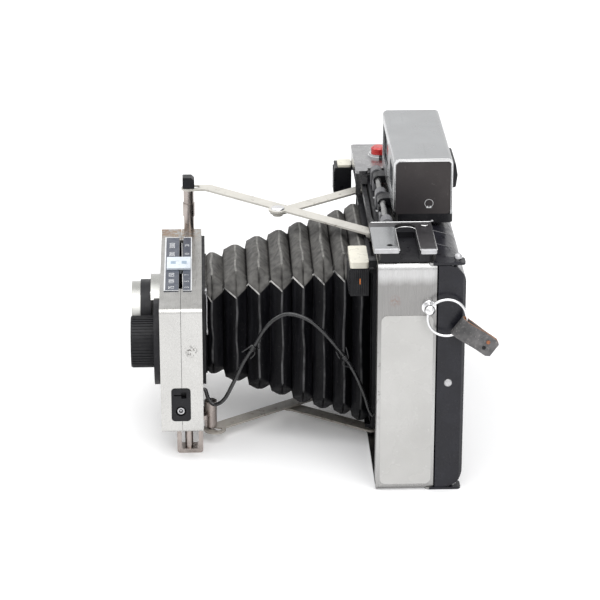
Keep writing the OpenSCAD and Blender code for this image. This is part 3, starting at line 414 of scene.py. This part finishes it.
def strap_and_lead_finishes():
    cord = Finish("cord", (0.004, 0.004, 0.005), 0.3, coat=0.15)
    cord.mottle((0.025, 0.025, 0.027), 300).gloss(0.16, 0.34, 400).bump(1500, 0.05)
    leather = Finish("leather", (0.06, 0.058, 0.06), 0.46, coat=0.15)
    leather.mottle((0.14, 0.135, 0.135), 320, low=0.35, high=0.7)
    # darker round the fold of the leather at the ring
    leather.near((102.1, 27.5, 87), 7, (0.02, 0.02, 0.021), 60, 0.0, 0.1)
    leather.mottle((0.26, 0.245, 0.235), 1100, low=0.6, high=0.68, amount=0.6, detail=6, shift=3)
    leather.gloss(0.36, 0.6, 400).bump(1500, 0.09).bump(420, 0.12)
    raw = Finish("raw_edge", (0.36, 0.15, 0.06), 0.75)
    raw.mottle((0.14, 0.06, 0.03), 500).mottle((0.4, 0.2, 0.09), 1500, low=0.6, high=0.7, shift=2)
    raw.bump(2500, 0.1)


def label_and_glass_finishes():
    label = Finish("label", (0.52, 0.515, 0.50), 0.28, coat=0.7)
    label.mottle((0.44, 0.435, 0.42), 25)
    label.mottle((0.60, 0.6, 0.59), 420, low=0.66, high=0.72, amount=0.5, shift=4)
    label.gloss(0.2, 0.36, 80).bump(900, 0.012)
    Finish("glass", (0.75, 0.80, 0.9), 0.03, Transmission_Weight=1.0, IOR=1.5).gloss(0.01, 0.07, 120)
    dark = Finish("dark_glass", (0.02, 0.022, 0.03), 0.06, coat=1.0)
    dark.gloss(0.03, 0.12, 100).mottle((0.05, 0.045, 0.07), 80)


metal_finishes()
plastic_finishes()
enamel_finishes()
cloth_finishes()
strap_and_lead_finishes()
label_and_glass_finishes()

# which nodes each finish goes on
FINISH = {
    "body_metal": "body_shell",
    "standard_metal": "front_cover rear_cover",
    "finder_metal": "finder_cover flash_clip",
    "platform_metal": "release_housing",
    "chrome": "button_collar strap_lugs strap_ring front_roller rear_roller",
    "worn_chrome": "hinge_rod",
    "white_ring": "lens_mount lens_bezel",
    "nickel": "top_post low_post foot",
    "steel": "tripod_bush guide_rods roller_frame door_latch flash_socket door_pin",
    "grey_prong": "flash_plate",
    "brass": "battery_clip",
    "black": "body_frame top_deck flash_base focus_bar focus_grips socket_panel lens_ring "
             "cocking_lever finder_base post_cap carriage shutter_blade",
    "black_matte": "bellows_plate shutter_board pressure_plate",
    "barrel": "eye_barrel",
    "door": "back_door",
    "case_grey": "finder_case",
    "hinge_grey": "hinge_bracket",
    "enamel": "top_arm top_brace",
    # the low arm and brace take the enamel's darker copy, which is painted shade
    "painted_shade_enamel": "low_arm low_brace",
    "ivory": "focus_caps",
    "white": "speed_slider",
    "scale_blue": "scale_plates",
    "red": "shutter_button",
    "label": "sticker",
    "board": "circuit_board",
    "battery": "battery",
    "glass": "lens_glass",
    "dark_glass": "eye_glass",
}


def paint(node, key):
    slots = NODES[node].data.materials
    slots.clear()
    slots.append(M[key].mat)


def second_finish(node, key, test):
    """Another finish on the faces of a node whose middle passes the test, in mm."""
    mesh = NODES[node].data
    mesh.materials.append(M[key].mat)
    for face in mesh.polygons:
        if test(face.center / MM):
            face.material_index = len(mesh.materials) - 1


for finish, members in FINISH.items():
    for member in members.split():
        paint(member, finish)
# the shell's hinge ears stand behind the seam and are black like the door
second_finish("body_shell", "door", lambda c: c.y > SEAM_Y + 0.05)


# ---------------------------------------------------------------- building pieces

def piece(name, verts, faces, key, body, sharp=35, bevel=0.0, slots=None, marks=None):
    """A mesh in mm that rides on a body. slots gives each face the finish key (0) or one of marks (1 on)."""
    mesh = bpy.data.meshes.new(name)
    mesh.from_pydata([Vector(v) * MM for v in verts], [], faces)
    mesh.update()
    ob = bpy.data.objects.new(name, mesh)
    scene.collection.objects.link(ob)
    for k in [key] + (marks or []):
        mesh.materials.append(M[k].mat)
    if slots:
        for face, s in zip(mesh.polygons, slots):
            face.material_index = s
    if bevel:
        mod = ob.modifiers.new("bevel", "BEVEL")
        mod.width = bevel * MM
        mod.segments = 3
        mod.limit_method = "ANGLE"
        bake_modifiers(ob)
    ob.data.shade_smooth()
    ob.data.set_sharp_from_angle(angle=math.radians(sharp))
    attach(ob, body)
    return ob


def bake_modifiers(ob):
    deps = bpy.context.evaluated_depsgraph_get()
    mesh = bpy.data.meshes.new_from_object(ob.evaluated_get(deps))
    ob.modifiers.clear()
    ob.data = mesh


def turn_to(axis):
    """Turns +Z onto an axis."""
    return Vector((0, 0, 1)).rotation_difference(Vector(axis)).to_matrix()


def lathe(name, profile, centre, axis, key, body, seg=48, sharp=35):
    """A turned solid: profile is (radius, height) from one end to the other, closed at radius 0."""
    rot = turn_to(axis)
    verts, faces = [], []
    for r, h in profile:
        for k in range(seg):
            a = 2 * math.pi * k / seg
            verts.append(Vector(centre) + rot @ Vector((r * math.cos(a), r * math.sin(a), h)))
    for i in range(len(profile) - 1):
        for k in range(seg):
            a, b = i * seg + k, i * seg + (k + 1) % seg
            faces.append((a, b, b + seg, a + seg))
    faces.append(tuple(reversed(range(seg))))
    faces.append(tuple(range((len(profile) - 1) * seg, len(profile) * seg)))
    return piece(name, verts, faces, key, body, sharp)


def prism(name, outline, low, high, place, key, body, bevel=0.0):
    """An extruded outline; place maps (u, v, w) to the row frame in mm."""
    n = len(outline)
    verts = [place(u, v, low) for u, v in outline] + [place(u, v, high) for u, v in outline]
    faces = [tuple(reversed(range(n))), tuple(range(n, 2 * n))]
    faces += [(k, (k + 1) % n, n + (k + 1) % n, n + k) for k in range(n)]
    return piece(name, verts, faces, key, body, bevel=bevel)


def rounded(w, h, r, steps=6):
    """Outline of a rectangle with round corners."""
    pts = []
    for cx, cy, start in ((w / 2 - r, h / 2 - r, 0), (-w / 2 + r, h / 2 - r, 90),
                          (-w / 2 + r, -h / 2 + r, 180), (w / 2 - r, -h / 2 + r, 270)):
        for k in range(steps + 1):
            a = math.radians(start + 90 * k / steps)
            pts.append((cx + r * math.cos(a), cy + r * math.sin(a)))
    return pts


def smooth_path(points, per=6):
    """Catmull-Rom curve through the points."""
    pts = [Vector(p) for p in points]
    out = []
    for i in range(len(pts) - 1):
        a, b = pts[max(i - 1, 0)], pts[i]
        c, d = pts[i + 1], pts[min(i + 2, len(pts) - 1)]
        for k in range(per):
            t = k / per
            out.append(0.5 * (2 * b + (c - a) * t + (2 * a - 5 * b + 4 * c - d) * t * t
                              + (3 * b - a - 3 * c + d) * t ** 3))
    out.append(pts[-1])
    return out


def tube_mesh(path, radius, sides=12):
    """A closed tube along a path; radius is a number, or a function of the path's index."""
    verts, faces = [], []
    side = None
    for i, p in enumerate(path):
        way = (path[min(i + 1, len(path) - 1)] - path[max(i - 1, 0)]).normalized()
        if side is None:
            side = way.orthogonal().normalized()
        side = (side - way * side.dot(way)).normalized()
        up = way.cross(side)
        r = radius(i) if callable(radius) else radius
        for k in range(sides):
            a = 2 * math.pi * k / sides
            verts.append(p + r * (math.cos(a) * side + math.sin(a) * up))
    for i in range(len(path) - 1):
        for k in range(sides):
            a, b = i * sides + k, i * sides + (k + 1) % sides
            faces.append((a, b, b + sides, a + sides))
    faces.append(tuple(reversed(range(sides))))
    faces.append(tuple(range((len(path) - 1) * sides, len(path) * sides)))
    return verts, faces


def tube(name, points, radius, key, body, sides=12, per=6):
    verts, faces = tube_mesh(smooth_path(points, per), radius, sides)
    return piece(name, verts, faces, key, body, 50)


def letters(name, words, size, place, right, up, key, body, depth=0.04):
    """Plain numbers, centred at place, reading along right."""
    curve = bpy.data.curves.new(name, "FONT")
    curve.body = words
    curve.size = size * MM
    curve.extrude = depth * MM
    curve.align_x = "CENTER"
    curve.align_y = "CENTER"
    ob = bpy.data.objects.new(name, curve)
    scene.collection.objects.link(ob)
    bpy.context.view_layer.update()
    mesh = bpy.data.meshes.new_from_object(ob.evaluated_get(bpy.context.evaluated_depsgraph_get()))
    bpy.data.objects.remove(ob)
    right, up = Vector(right), Vector(up)
    turn = Matrix((right, up, right.cross(up))).transposed().to_4x4()
    mesh.transform(Matrix.Translation(mm(*place)) @ turn)
    ob = bpy.data.objects.new(name, mesh)
    scene.collection.objects.link(ob)
    mesh.materials.clear()
    mesh.materials.append(M[key].mat)
    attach(ob, body)
    return ob


def dome(name, centre, axis, r, h, key, body):
    profile = [(r, 0), (r * 0.98, h * 0.3), (r * 0.85, h * 0.68), (r * 0.55, h * 0.92), (0.02, h)]
    return lathe(name, profile, centre, axis, key, body, 28, 60)


def screw(name, centre, axis, r, key, body):
    """A slotted screw head, turned to a random angle."""
    dome(name, centre, axis, r, r * 0.35, key, body)
    rot = turn_to(axis)
    spin = rng.uniform(0, math.pi)
    along = rot @ Vector((math.cos(spin), math.sin(spin), 0))
    across = rot @ Vector((-math.sin(spin), math.cos(spin), 0))
    out = rot @ Vector((0, 0, 1))
    long, wide = r * 0.8, r * 0.13
    prism(name + "_slot", [(-long, -wide), (long, -wide), (long, wide), (-long, wide)], r * 0.2, r * 0.37,
          lambda u, v, w: Vector(centre) + along * u + across * v + out * w, "black_matte", body)


# ---------------------------------------------------------------- bellows

# y places of the ridges, front to back
RIDGES = (-92.5, -80.2, -68.8, -57.4, -46.9, -36.7, -26.7, -18.4)
# (share of the way from a ridge to the valley, share of the pleat's depth): round ridge, sharp valley
PLEAT = ((0.0, 0.0), (0.045, 0.0), (0.22, 0.14), (0.45, 0.42), (0.7, 0.76), (0.88, 0.96), (1.0, 1.0))
PLEAT_DEPTH = 3.9
RIDGE_HALF, RIDGE_GROWTH = 26.4, 18.8   # half size at the first ridge, and how much the last one has more
RIDGE_CUT, VALLEY_CUT = 10.0, 1.0       # corner cut on a ridge and in a valley
END_CUT = 1.5
FRONT_HALF, BACK_HALF = 24.0, 43.6      # half sizes of the two ends
CLOTH_T = 0.7
# where the points of a side and of a corner stand along it; a side has a narrow strip at each end, and the
# upper ones on the near and far side are worn and carry a painted highlight
SIDE_SHARES = (0.0, 0.01, 0.2, 0.4, 0.6, 0.8, 0.99)
CORNER_SHARES = (0.0, 0.25, 0.5, 0.75)
BELLOWS_FRONT, BELLOWS_BACK = span("bellows", "Y")

Ring = namedtuple("Ring", "y half cut ridge front valley")


def pleat_rings():
    """The bellows' rings, front to back: place, half size, corner cut, and the part of a pleat it is on."""
    rings = [Ring(BELLOWS_FRONT, FRONT_HALF, END_CUT, False, False, False)]
    for n, ridge in enumerate(RIDGES):
        last = n + 1 == len(RIDGES)
        before = (RIDGES[n - 1] + ridge) / 2 if n else BELLOWS_FRONT
        after = BELLOWS_BACK if last else (ridge + RIDGES[n + 1]) / 2
        grown = (ridge - RIDGES[0]) / (RIDGES[-1] - RIDGES[0])
        half = RIDGE_HALF + RIDGE_GROWTH * grown + rng.uniform(-0.4, 0.4)

        def on_slope(end, along, down, front):
            cut = RIDGE_CUT + (VALLEY_CUT - RIDGE_CUT) * along
            y = ridge + (end - ridge) * along
            return Ring(y, half - PLEAT_DEPTH * down, cut, along < 0.1, front, along > 0.85)

        # the valley itself belongs to the pleat before it
        rings += [on_slope(before, along, down, True) for along, down in reversed(PLEAT[1:-1])]
        rings.append(Ring(ridge, half + 0.05, RIDGE_CUT, True, True, False))
        rings += [on_slope(after, along, down, False) for along, down in (PLEAT[1:-1] if last else PLEAT[1:])]
    rings.append(Ring(BELLOWS_BACK, BACK_HALF, END_CUT, False, False, False))
    return rings


def ring_points(ring):
    """Points round one ring: four sides, slightly bulged and swaying, with a straight cut at each corner."""
    half, flat = ring.half, ring.half - ring.cut
    corner = [(half, -flat), (half, flat), (flat, half), (-flat, half), (-half, flat), (-half, -flat),
              (-flat, -half), (flat, -half)]
    points = []
    for k, (x0, z0) in enumerate(corner):
        x1, z1 = corner[(k + 1) % len(corner)]
        side = k % 2 == 0
        for u in SIDE_SHARES if side else CORNER_SHARES:
            bow = math.sin(math.pi * u)
            bulge = 1 + (0.5 * bow * math.sin(ring.y * 0.9 + k * 1.3) / half if side else 0)
            sway = 0.5 * math.sin(9 * u + ring.y * 0.7 + k) * bow if side and ring.ridge else 0.0
            x, z = (x0 + (x1 - x0) * u) * bulge, (z0 + (z1 - z0) * u) * bulge
            points.append((x, ring.y + sway, AXIS_Z + z))
    return points


def make_bellows():
    rings = pleat_rings()
    verts = [point for ring in rings for point in ring_points(ring)]
    per = len(verts) // len(rings)
    # the worn strips at the upper ends of the near side and of the far side, with a painted highlight on
    # their forward slopes only
    worn_highlight_strips = (len(SIDE_SHARES) - 1, 2 * (len(SIDE_SHARES) + len(CORNER_SHARES)))
    plain, ridge_line, worn, valley_shade = range(4)
    faces, slots = [], []
    for i, (here, then) in enumerate(zip(rings, rings[1:])):
        for k in range(per):
            a, b = i * per + k, i * per + (k + 1) % per
            faces.append((a, b, b + per, a + per))
            if k in worn_highlight_strips and then.front:
                slots.append(worn)
            elif here.ridge and then.ridge:
                slots.append(ridge_line)
            # the valleys take the cloth with painted shade
            elif here.valley and then.valley:
                slots.append(valley_shade)
            else:
                slots.append(plain)
    ob = piece("bellows_cloth", verts, faces, "cloth", "carriage", 75, slots=slots,
               marks=["ridge", "worn_fold_highlight", "valley_shade_cloth"])
    first = ob.data.polygons[0]
    skin = ob.modifiers.new("skin", "SOLIDIFY")
    skin.thickness = CLOTH_T * MM
    skin.offset = -1 if first.normal.dot(first.center - mm(0, 0, AXIS_Z)) > 0 else 1
    bake_modifiers(ob)
    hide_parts("bellows")
    mm(0, BELLOWS_BACK, 0)
    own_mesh(ob)


make_bellows()

# ---------------------------------------------------------------- release lead

# route from the standard to the body
LEAD = [(40, -97.5, 30), (40, -96.4, 30), (40.4, -95, 25.5), (41.5, -92, 22.5), (43, -87, 26),
        (44, -82, 36), (44.5, -77, 47), (45, -71.5, 56), (46, -66.5, 65), (46.5, -60.5, 71), (47, -54, 73.2),
        (48.2, -45, 70.5), (50, -37, 64), (51.5, -29, 54.5), (52.5, -22.5, 44.5), (53.2, -17.5, 33),
        (53.6, -14.8, 24), (53.6, -13.0, 20.8), (53.6, -12.1, 20.8)]
LEAD_R, LEAD_END_R = 1.0, 0.85
LEAD_STEPS = 6           # path steps between two points of the route
THREAD_R = 0.42
THREAD_TIES = (41, 80)   # steps along the path where a thread is tied


def thread_tie(path, at):
    """A thin thread wound twice round the lead, with loose ends."""
    spot, way = path[at], (path[at + 1] - path[at - 1]).normalized()
    side = way.cross(Vector((1, 0, 0))).normalized()
    up = side.cross(way)
    coil = [spot + way * (k / 12 - 1) * 1.1 + (side * math.cos(k * 0.9) + up * math.sin(k * 0.9)) * 1.35
            for k in range(25)]
    for start, bend, end in ((coil[0], side * 2.2 - way * 2.0, side * 1.8 - way * 5.5),
                             (coil[-1], side * -2.4 - way * 1.2, side * -3.6 - way * 4.6),
                             (coil[12], side * 2.6 + way * 1.8, side * 1.0 + way * 4.8)):
        loose = smooth_path([start, spot + bend + up * 1.2, spot + end + up * 0.6])
        yield tube_mesh(loose, THREAD_R - 0.04, 8)
    yield tube_mesh(coil, THREAD_R, 8)


def make_lead():
    path = smooth_path(LEAD, LEAD_STEPS)
    thin = (LEAD_STEPS, len(path) - 3 * LEAD_STEPS)
    verts, faces = tube_mesh(path, lambda i: LEAD_END_R if i < thin[0] or i > thin[1] else LEAD_R)
    for at in THREAD_TIES:
        for more, quads in thread_tie(path, at):
            faces += [tuple(v + len(verts) for v in q) for q in quads]
            verts += more
    ob = piece("release_lead_cover", verts, faces, "cord", "carriage", 60)
    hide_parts("release_lead")
    front, back = LEAD[0][1], LEAD[-1][1]
    mm(0, back, 0)
    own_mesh(ob)


make_lead()

# ---------------------------------------------------------------- strap tab

TAB_L = 19.0
TAB_HALF = 4.8                  # half the strip's width
TAB_HANG = math.radians(36)     # how far below the horizontal the tab points
LAYER_X = 0.72                  # from the tab's middle plane to the middle of one layer
LEATHER_HALF = 0.68             # half the leather's thickness
BEND_R = 2.77                   # of the loop round the ring
RING_R, RING_TILT = 9.2, math.radians(25.7)
LUG_Y, LUG_Z = 10.3, 96.0


def tab_line():
    """Middle line of the leather, (along, out): the front layer from its end, the bend, the back layer."""
    front = []
    for s in range(11):
        y = TAB_L * (1 - s / 10)
        gap = (BEND_R - LAYER_X) * (1 - min(1, max(0, (y - 1) / 9))) ** 0.8 if y < 10 else 0
        front.append((y, LAYER_X + gap))
    bend = []
    for s in range(1, 8):
        a = math.pi / 2 + math.pi * s / 8
        bend.append((BEND_R * math.cos(a), BEND_R * math.sin(a)))
    return front + bend + [(y, -x) for y, x in reversed(front)]


def make_tab():
    """Folded leather, closed round the ring and riveted, with a raw edge all round."""
    x0 = sum(span("strap_tab", "X")) / 2
    cy = LUG_Y + RING_R * (math.cos(RING_TILT) + math.cos(TAB_HANG))
    cz = LUG_Z - RING_R * (math.sin(RING_TILT) + math.sin(TAB_HANG))
    along = Vector((0, math.cos(TAB_HANG), -math.sin(TAB_HANG)))
    wide = Vector((0, math.sin(TAB_HANG), math.cos(TAB_HANG)))
    out = Vector((1, 0, 0))
    centre = Vector((x0, cy, cz))
    line = tab_line()
    count = len(line)
    # (share of the half width, share of the half thickness): the edges are thinner
    columns = [(-1.0, 0.72), (-0.94, 1), (-0.5, 1), (0, 1), (0.5, 1), (0.94, 1), (1.0, 0.72)]
    verts, faces, slots = [], [], []
    for i, (y, x) in enumerate(line):
        a, b = line[max(i - 1, 0)], line[min(i + 1, count - 1)]
        ty, tx = b[0] - a[0], b[1] - a[1]
        norm = math.hypot(ty, tx)
        ny, nx = -tx / norm, ty / norm
        half = TAB_HALF - max(0.0, (y - TAB_L + 2.0)) ** 1.5 * 0.4
        for side in (LEATHER_HALF, -LEATHER_HALF):
            for c, full in columns:
                d = side * full
                verts.append(centre + along * (y + ny * d) + wide * (c * half) + out * (x + nx * d))
    k = len(columns)
    grain, raw = 0, 1
    for i in range(count - 1):
        p, q = i * 2 * k, (i + 1) * 2 * k
        for c in range(k - 1):
            faces.append((p + c, p + c + 1, q + c + 1, q + c))
            faces.append((p + k + c + 1, p + k + c, q + k + c, q + k + c + 1))
            slots += [grain, grain]
        for c in (0, k - 1):
            edge = (p + c, q + c, q + k + c, p + k + c)
            faces.append(edge if c == 0 else tuple(reversed(edge)))
            slots.append(raw)
    for i in (0, count - 1):
        p = i * 2 * k
        for c in range(k - 1):
            end = (p + c, p + k + c, p + k + c + 1, p + c + 1)
            faces.append(end if i == 0 else tuple(reversed(end)))
            slots.append(raw)
    ob = piece("strap_leather", verts, faces, "leather", "strap_tab", 40, slots=slots, marks=["raw_edge"])
    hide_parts("strap_tab")
    for n, (z, key) in enumerate(((-1.7, "black_matte"), (1.7, "copper"))):
        lathe("tab_eyelet_%d" % n, [(0.95, -1.75), (0.95, 1.72), (0.7, 1.85), (0.5, 1.6), (0.02, 1.5)],
              centre + along * (TAB_L - 5) + wide * z, out, key, "strap_tab", 20)


make_tab()

# ---------------------------------------------------------------- scale window and numbers

PLATE_X0, PLATE_X1 = span("scale_plates", "X")
PLATE_Y0, PLATE_Y1 = span("scale_plates", "Y")
PLATE_TOP = span("scale_plates", "Z")[1]
# edges of the speed plate and of the range plate beside the parting groove
SPEED_EDGE, RANGE_EDGE = -109.1, -106.9


def frame_lines():
    """Pale border round the two plates of the scale window, open towards the parting groove."""
    wide, thin, rise = 0.7, 0.5, 0.05
    for n, (x0, x1, y0, y1) in enumerate((
            (PLATE_X0, PLATE_X1, PLATE_Y0, PLATE_Y0 + wide),
            (PLATE_X0, PLATE_X1, PLATE_Y1 - thin, PLATE_Y1),
            (PLATE_X0, PLATE_X0 + wide, PLATE_Y0 + wide, SPEED_EDGE),
            (PLATE_X1 - thin, PLATE_X1, PLATE_Y0 + wide, SPEED_EDGE),
            (PLATE_X0, PLATE_X0 + wide, RANGE_EDGE, PLATE_Y1 - thin),
            (PLATE_X1 - thin, PLATE_X1, RANGE_EDGE, PLATE_Y1 - thin))):
        prism("scale_line_%d" % n, [(x0, y0), (x1, y0), (x1, y1), (x0, y1)], -rise, rise,
              lambda u, v, w: Vector((u, v, PLATE_TOP + w)), "print", "standard")


def scale_numbers():
    """Plain film-speed and distance numbers, one row on each plate, clear of the slider's middle place."""
    rows = (("speed", (PLATE_Y0 + SPEED_EDGE) / 2 + 0.2, 4.0, ("75", "100", "150", "300", "3000")),
            ("range", (RANGE_EDGE + PLATE_Y1) / 2 - 0.2, 3.2, ("3", "5", "7", "10", "20")))
    for row, y, size, words in rows:
        for x, word in zip((30.0, 21.5, 12.5, -18.0, -31.0), words):
            letters("scale_%s_%s" % (row, word), word, size, (x, y, PLATE_TOP), (-1, 0, 0), (0, -1, 0),
                    "print", "standard", 0.01)


def slider_windows():
    x = sum(span("speed_slider", "X")) / 2
    y0, y1 = span("speed_slider", "Y")
    top = span("speed_slider", "Z")[1]
    for n, share in enumerate((0.27, 0.73)):
        y = y0 + (y1 - y0) * share
        prism("slider_window_%d" % n, rounded(4.0, 2.6, 0.4), top - 0.03, top + 0.05,
              lambda u, v, w: Vector((x + u, y + v, w)), "window_blue", "speed_slider")


frame_lines()
scale_numbers()
slider_windows()

# ---------------------------------------------------------------- front standard details


def cover_screws():
    front = span("front_cover", "Y")[0]
    bottom = span("front_cover", "Z")[0]
    for n, (x, z) in enumerate(((13.2, 16.0), (-13.2, 16.0), (13.2, -16.0), (-13.2, -16.0))):
        screw("mount_screw_%d" % n, (x, front - 5.0, AXIS_Z + z), (0, -1, 0), 1.1, "steel", "standard")
    for n, x in enumerate((-54, 14)):
        screw("cover_screw_%d" % n, (x, front + 4.5, bottom), (0, 0, -1), 1.3, "steel", "standard")


def plate_hardware():
    """Small clip and hooked wire on the bellows plate, behind the rear cover."""
    back = span("rear_cover", "Y")[1]
    prism("plate_clip", rounded(3.4, 2.2, 0.4), 0, 0.8,
          lambda u, v, w: Vector((26 + u, back + 1.6 + w, 78 + v)), "steel", "standard")
    wire = [(30, 1.0, 79.0), (30, 2.2, 76), (30, 2.2, 62), (31, 2.4, 58), (33, 2.4, 57.5), (34, 2.4, 59.5)]
    tube("plate_wire", [(x, back + y, z) for x, y, z in wire], 0.45, "steel", "standard", 10)


def lens_steps():
    """Dark steps seen through the lens, each narrower than the one before."""
    front = span("front_cover", "Y")[0] - 4
    outer, depth = 7.95, 0.8
    for n, (r, y) in enumerate(((7.6, 0.4), (6.6, 2.2), (5.6, 3.8))):
        lathe("lens_step_%d" % n, [(outer, 0), (outer, depth), (r - depth, depth), (r - depth, 0)],
              (0, front + y, AXIS_Z), (0, 1, 0), "black_matte", "standard", 40)


cover_screws()
plate_hardware()
lens_steps()

# ---------------------------------------------------------------- finder

COVER_X1 = span("finder_cover", "X")[1]
COVER_Y0, COVER_Y1 = span("finder_cover", "Y")
COVER_Z0, COVER_Z1 = span("finder_cover", "Z")


def fold_sign():
    """Thin round arrow with a head at each end, which says that the finder folds."""
    centre = Vector((span("finder_case", "X")[1], 14.5, 128.4))
    radius, half_line = 2.05, 0.1
    under, over = -0.02, 0.05
    ways = [math.radians(-60 + 300 * k / 32) for k in range(33)]
    pts = [(math.cos(a), math.sin(a)) for a in ways]
    verts = [centre + Vector((h, c * r, s * r)) for h in (under, over)
             for r in (radius - half_line, radius + half_line) for c, s in pts]
    n = len(pts)
    faces = []
    for k in range(n - 1):
        faces += [(2 * n + k, 2 * n + k + 1, 3 * n + k + 1, 3 * n + k), (k, n + k, n + k + 1, k + 1),
                  (k, k + 1, 2 * n + k + 1, 2 * n + k), (n + k, 3 * n + k, 3 * n + k + 1, n + k + 1)]
    faces += [(0, 2 * n, 3 * n, n), (n - 1, 2 * n - 1, 4 * n - 1, 3 * n - 1)]
    piece("fold_sign_ring", verts, faces, "print", "finder")
    for name, (c, s), way in (("a", pts[0], -1), ("b", pts[-1], 1)):
        tip = Vector((0, -s, c)) * way
        outward = Vector((0, c, s))
        base = centre + outward * radius
        head = [base + outward * 0.7, base - outward * 0.7, base + tip * 1.3]
        verts = [p + Vector((h, 0, 0)) for h in (under, over) for p in head]
        faces = [(0, 1, 2), (3, 5, 4), (0, 3, 4, 1), (1, 4, 5, 2), (2, 5, 3, 0)]
        piece("fold_sign_head_%s" % name, verts, faces, "print", "finder")


def finder_windows():
    """Dark glass of the two front windows and the eyepiece, and the eyepiece's wedge-shaped hood."""
    front, back = COVER_Y0 + 1.2, COVER_Y1 - 2.6
    for name, x0, x1, z0, z1, y in (("finder_window", -33.5, 1.5, 130.4, 145.6, front),
                                    ("range_window", 16.4, 33.6, 132.4, 143.6, front),
                                    ("finder_eye", 8.3, 33.7, 134.3, 145.7, back)):
        prism(name, [(x0, z0), (x1, z0), (x1, z1), (x0, z1)], 0, 0.8, lambda u, v, w: Vector((u, y + w, v)),
              "dark_glass", "finder")
    prism("eye_hood", [(0, -7), (3.4, -6.2), (4.2, 0), (3.2, 6), (0, 7)], -12.5, 12.5,
          lambda u, v, w: Vector((21 + w, COVER_Y1 - 1 + u, 140 + v)), "black", "finder", bevel=0.5)


fold_sign()
finder_windows()

# ---------------------------------------------------------------- back, hinge and deck details


def door_details():
    top = span("back_door", "Z")[1] + 0.02
    for n, x in enumerate((47.0, 66.0)):
        tube("door_seam_%d" % n, [(x, 14.8, top), (x + 4, 20, top), (x + 7, 23.2, top)], 0.2, "hinge_grey",
             "back_door", 8, 4)
    dome("door_rivet", (NEAR_END - 0.05, 20.2, 56.6), (1, 0, 0), 2.0, 0.9, "steel", "back_door")
    for n, x in enumerate((-60, 0, 60)):
        dome("back_rivet_%d" % n, (x, BACK_Y - 0.05, 20), (0, 1, 0), 1.6, 0.5, "black", "back_door")


def hinge_details():
    """Blocks, a wire loop and screws on the deck in front of the finder's hinge."""
    base = DECK_Z + 0.1
    for n, x in enumerate((-20.0, 22.0, 30.0, 38.0)):
        key, top = ("black", 6.2) if n % 2 else ("hinge_grey", 5.0)
        prism("hinge_block_%d" % n, rounded(4.4, 4.0, 0.6), base, base + top,
              lambda u, v, w: Vector((x + u, -7.2 + v, w)), key, "root", bevel=0.25)
    tube("hinge_loop", [(47.5, -9.6, base), (47.5, -10.4, base + 2.9), (50, -10.6, base + 4.6),
                        (52.5, -10.4, base + 2.9), (52.5, -9.6, base)], 0.55, "black", "root", 10)
    for n, x in enumerate((-30, -8, 12, 34, 52)):
        screw("deck_screw_%d" % n, (x, -8.5, DECK_Z), (0, 0, 1), 1.2, "steel", "root")


def finder_lip():
    """Bright lip of the finder cover round its near end, open below."""
    foot = COVER_Z0 + 2
    outer = [(COVER_Y0, foot), (COVER_Y0, COVER_Z1 - 2.4), (COVER_Y0 + 0.7, COVER_Z1 - 0.7),
             (COVER_Y0 + 2.4, COVER_Z1), (COVER_Y1 - 2.4, COVER_Z1), (COVER_Y1 - 0.7, COVER_Z1 - 0.7),
             (COVER_Y1, COVER_Z1 - 2.4), (COVER_Y1, foot)]
    inner = [(COVER_Y1 - 0.7, foot), (COVER_Y1 - 0.7, COVER_Z1 - 2.8), (COVER_Y1 - 2.0, COVER_Z1 - 1.6),
             (COVER_Y0 + 2.6, COVER_Z1 - 1.6), (COVER_Y0 + 0.9, COVER_Z1 - 3.0), (COVER_Y0 + 0.9, foot)]
    prism("finder_lip", outer + inner, 0, 0.35, lambda u, v, w: Vector((COVER_X1 - 0.05 + w, u, v)),
          "rim", "finder", bevel=0.12)


def shoe_details():
    """Bright lips, edges and rivet of the flash shoe."""
    lip_x, mouth_x = 96.2, 95.6
    for name, width, y, z in (("shoe_lip", 7.6, 10.0, SHOE_Z - 0.6),
                              ("clip_lip", 11.6, -10.1, SHOE_Z + 0.05)):
        prism(name, rounded(width, 2.4, 0.6), -0.9, 0.9, lambda u, v, w: Vector((lip_x + w, y + u, z + v)),
              "steel", "root", bevel=0.3)
    # round end and two straight sides of the slot
    slot_x, slot_y, slot_r, squeeze = 67.6, 1.2, 4.9, 0.9
    turns = [math.radians(a) for a in range(0, 181, 20)]
    arch = [(slot_x - slot_r * math.sin(a) * squeeze, slot_y + slot_r * math.cos(a)) for a in turns]
    edge = [(mouth_x, 6.1)] + arch + [(mouth_x, -3.8)]
    tube("shoe_edge", [(x, y, SHOE_Z + 0.05) for x, y in edge], 0.28, "rim", "root", 8, 3)
    border = [(95.5, 13.9), (57.0, 13.9), (56.1, 13.0), (56.1, -15.0)]
    tube("shoe_border", [(x, y, SHOE_Z) for x, y in border], 0.25, "rim", "root", 8, 3)
    dome("shoe_rivet", (62, 10.6, SHOE_Z + 0.55), (0, 0, 1), 1.75, 0.35, "rim", "root")


def arm_rivet():
    """Domed rivet where the top arm crosses its brace."""
    dome("arm_rivet", (-20.0, -58.0, 104.98), (0, 0, 1), 3.6, 1.4, "chrome", "top_arm")


def knob_number():
    letters("knob_number", "1", 4.2, (span("focus_grips", "X")[1] + 0.02, -21.3, 101.6), (0, 1, 0), (0, 0, 1),
            "orange", "focus_bar")


door_details()
hinge_details()
finder_lip()
shoe_details()
arm_rivet()
knob_number()
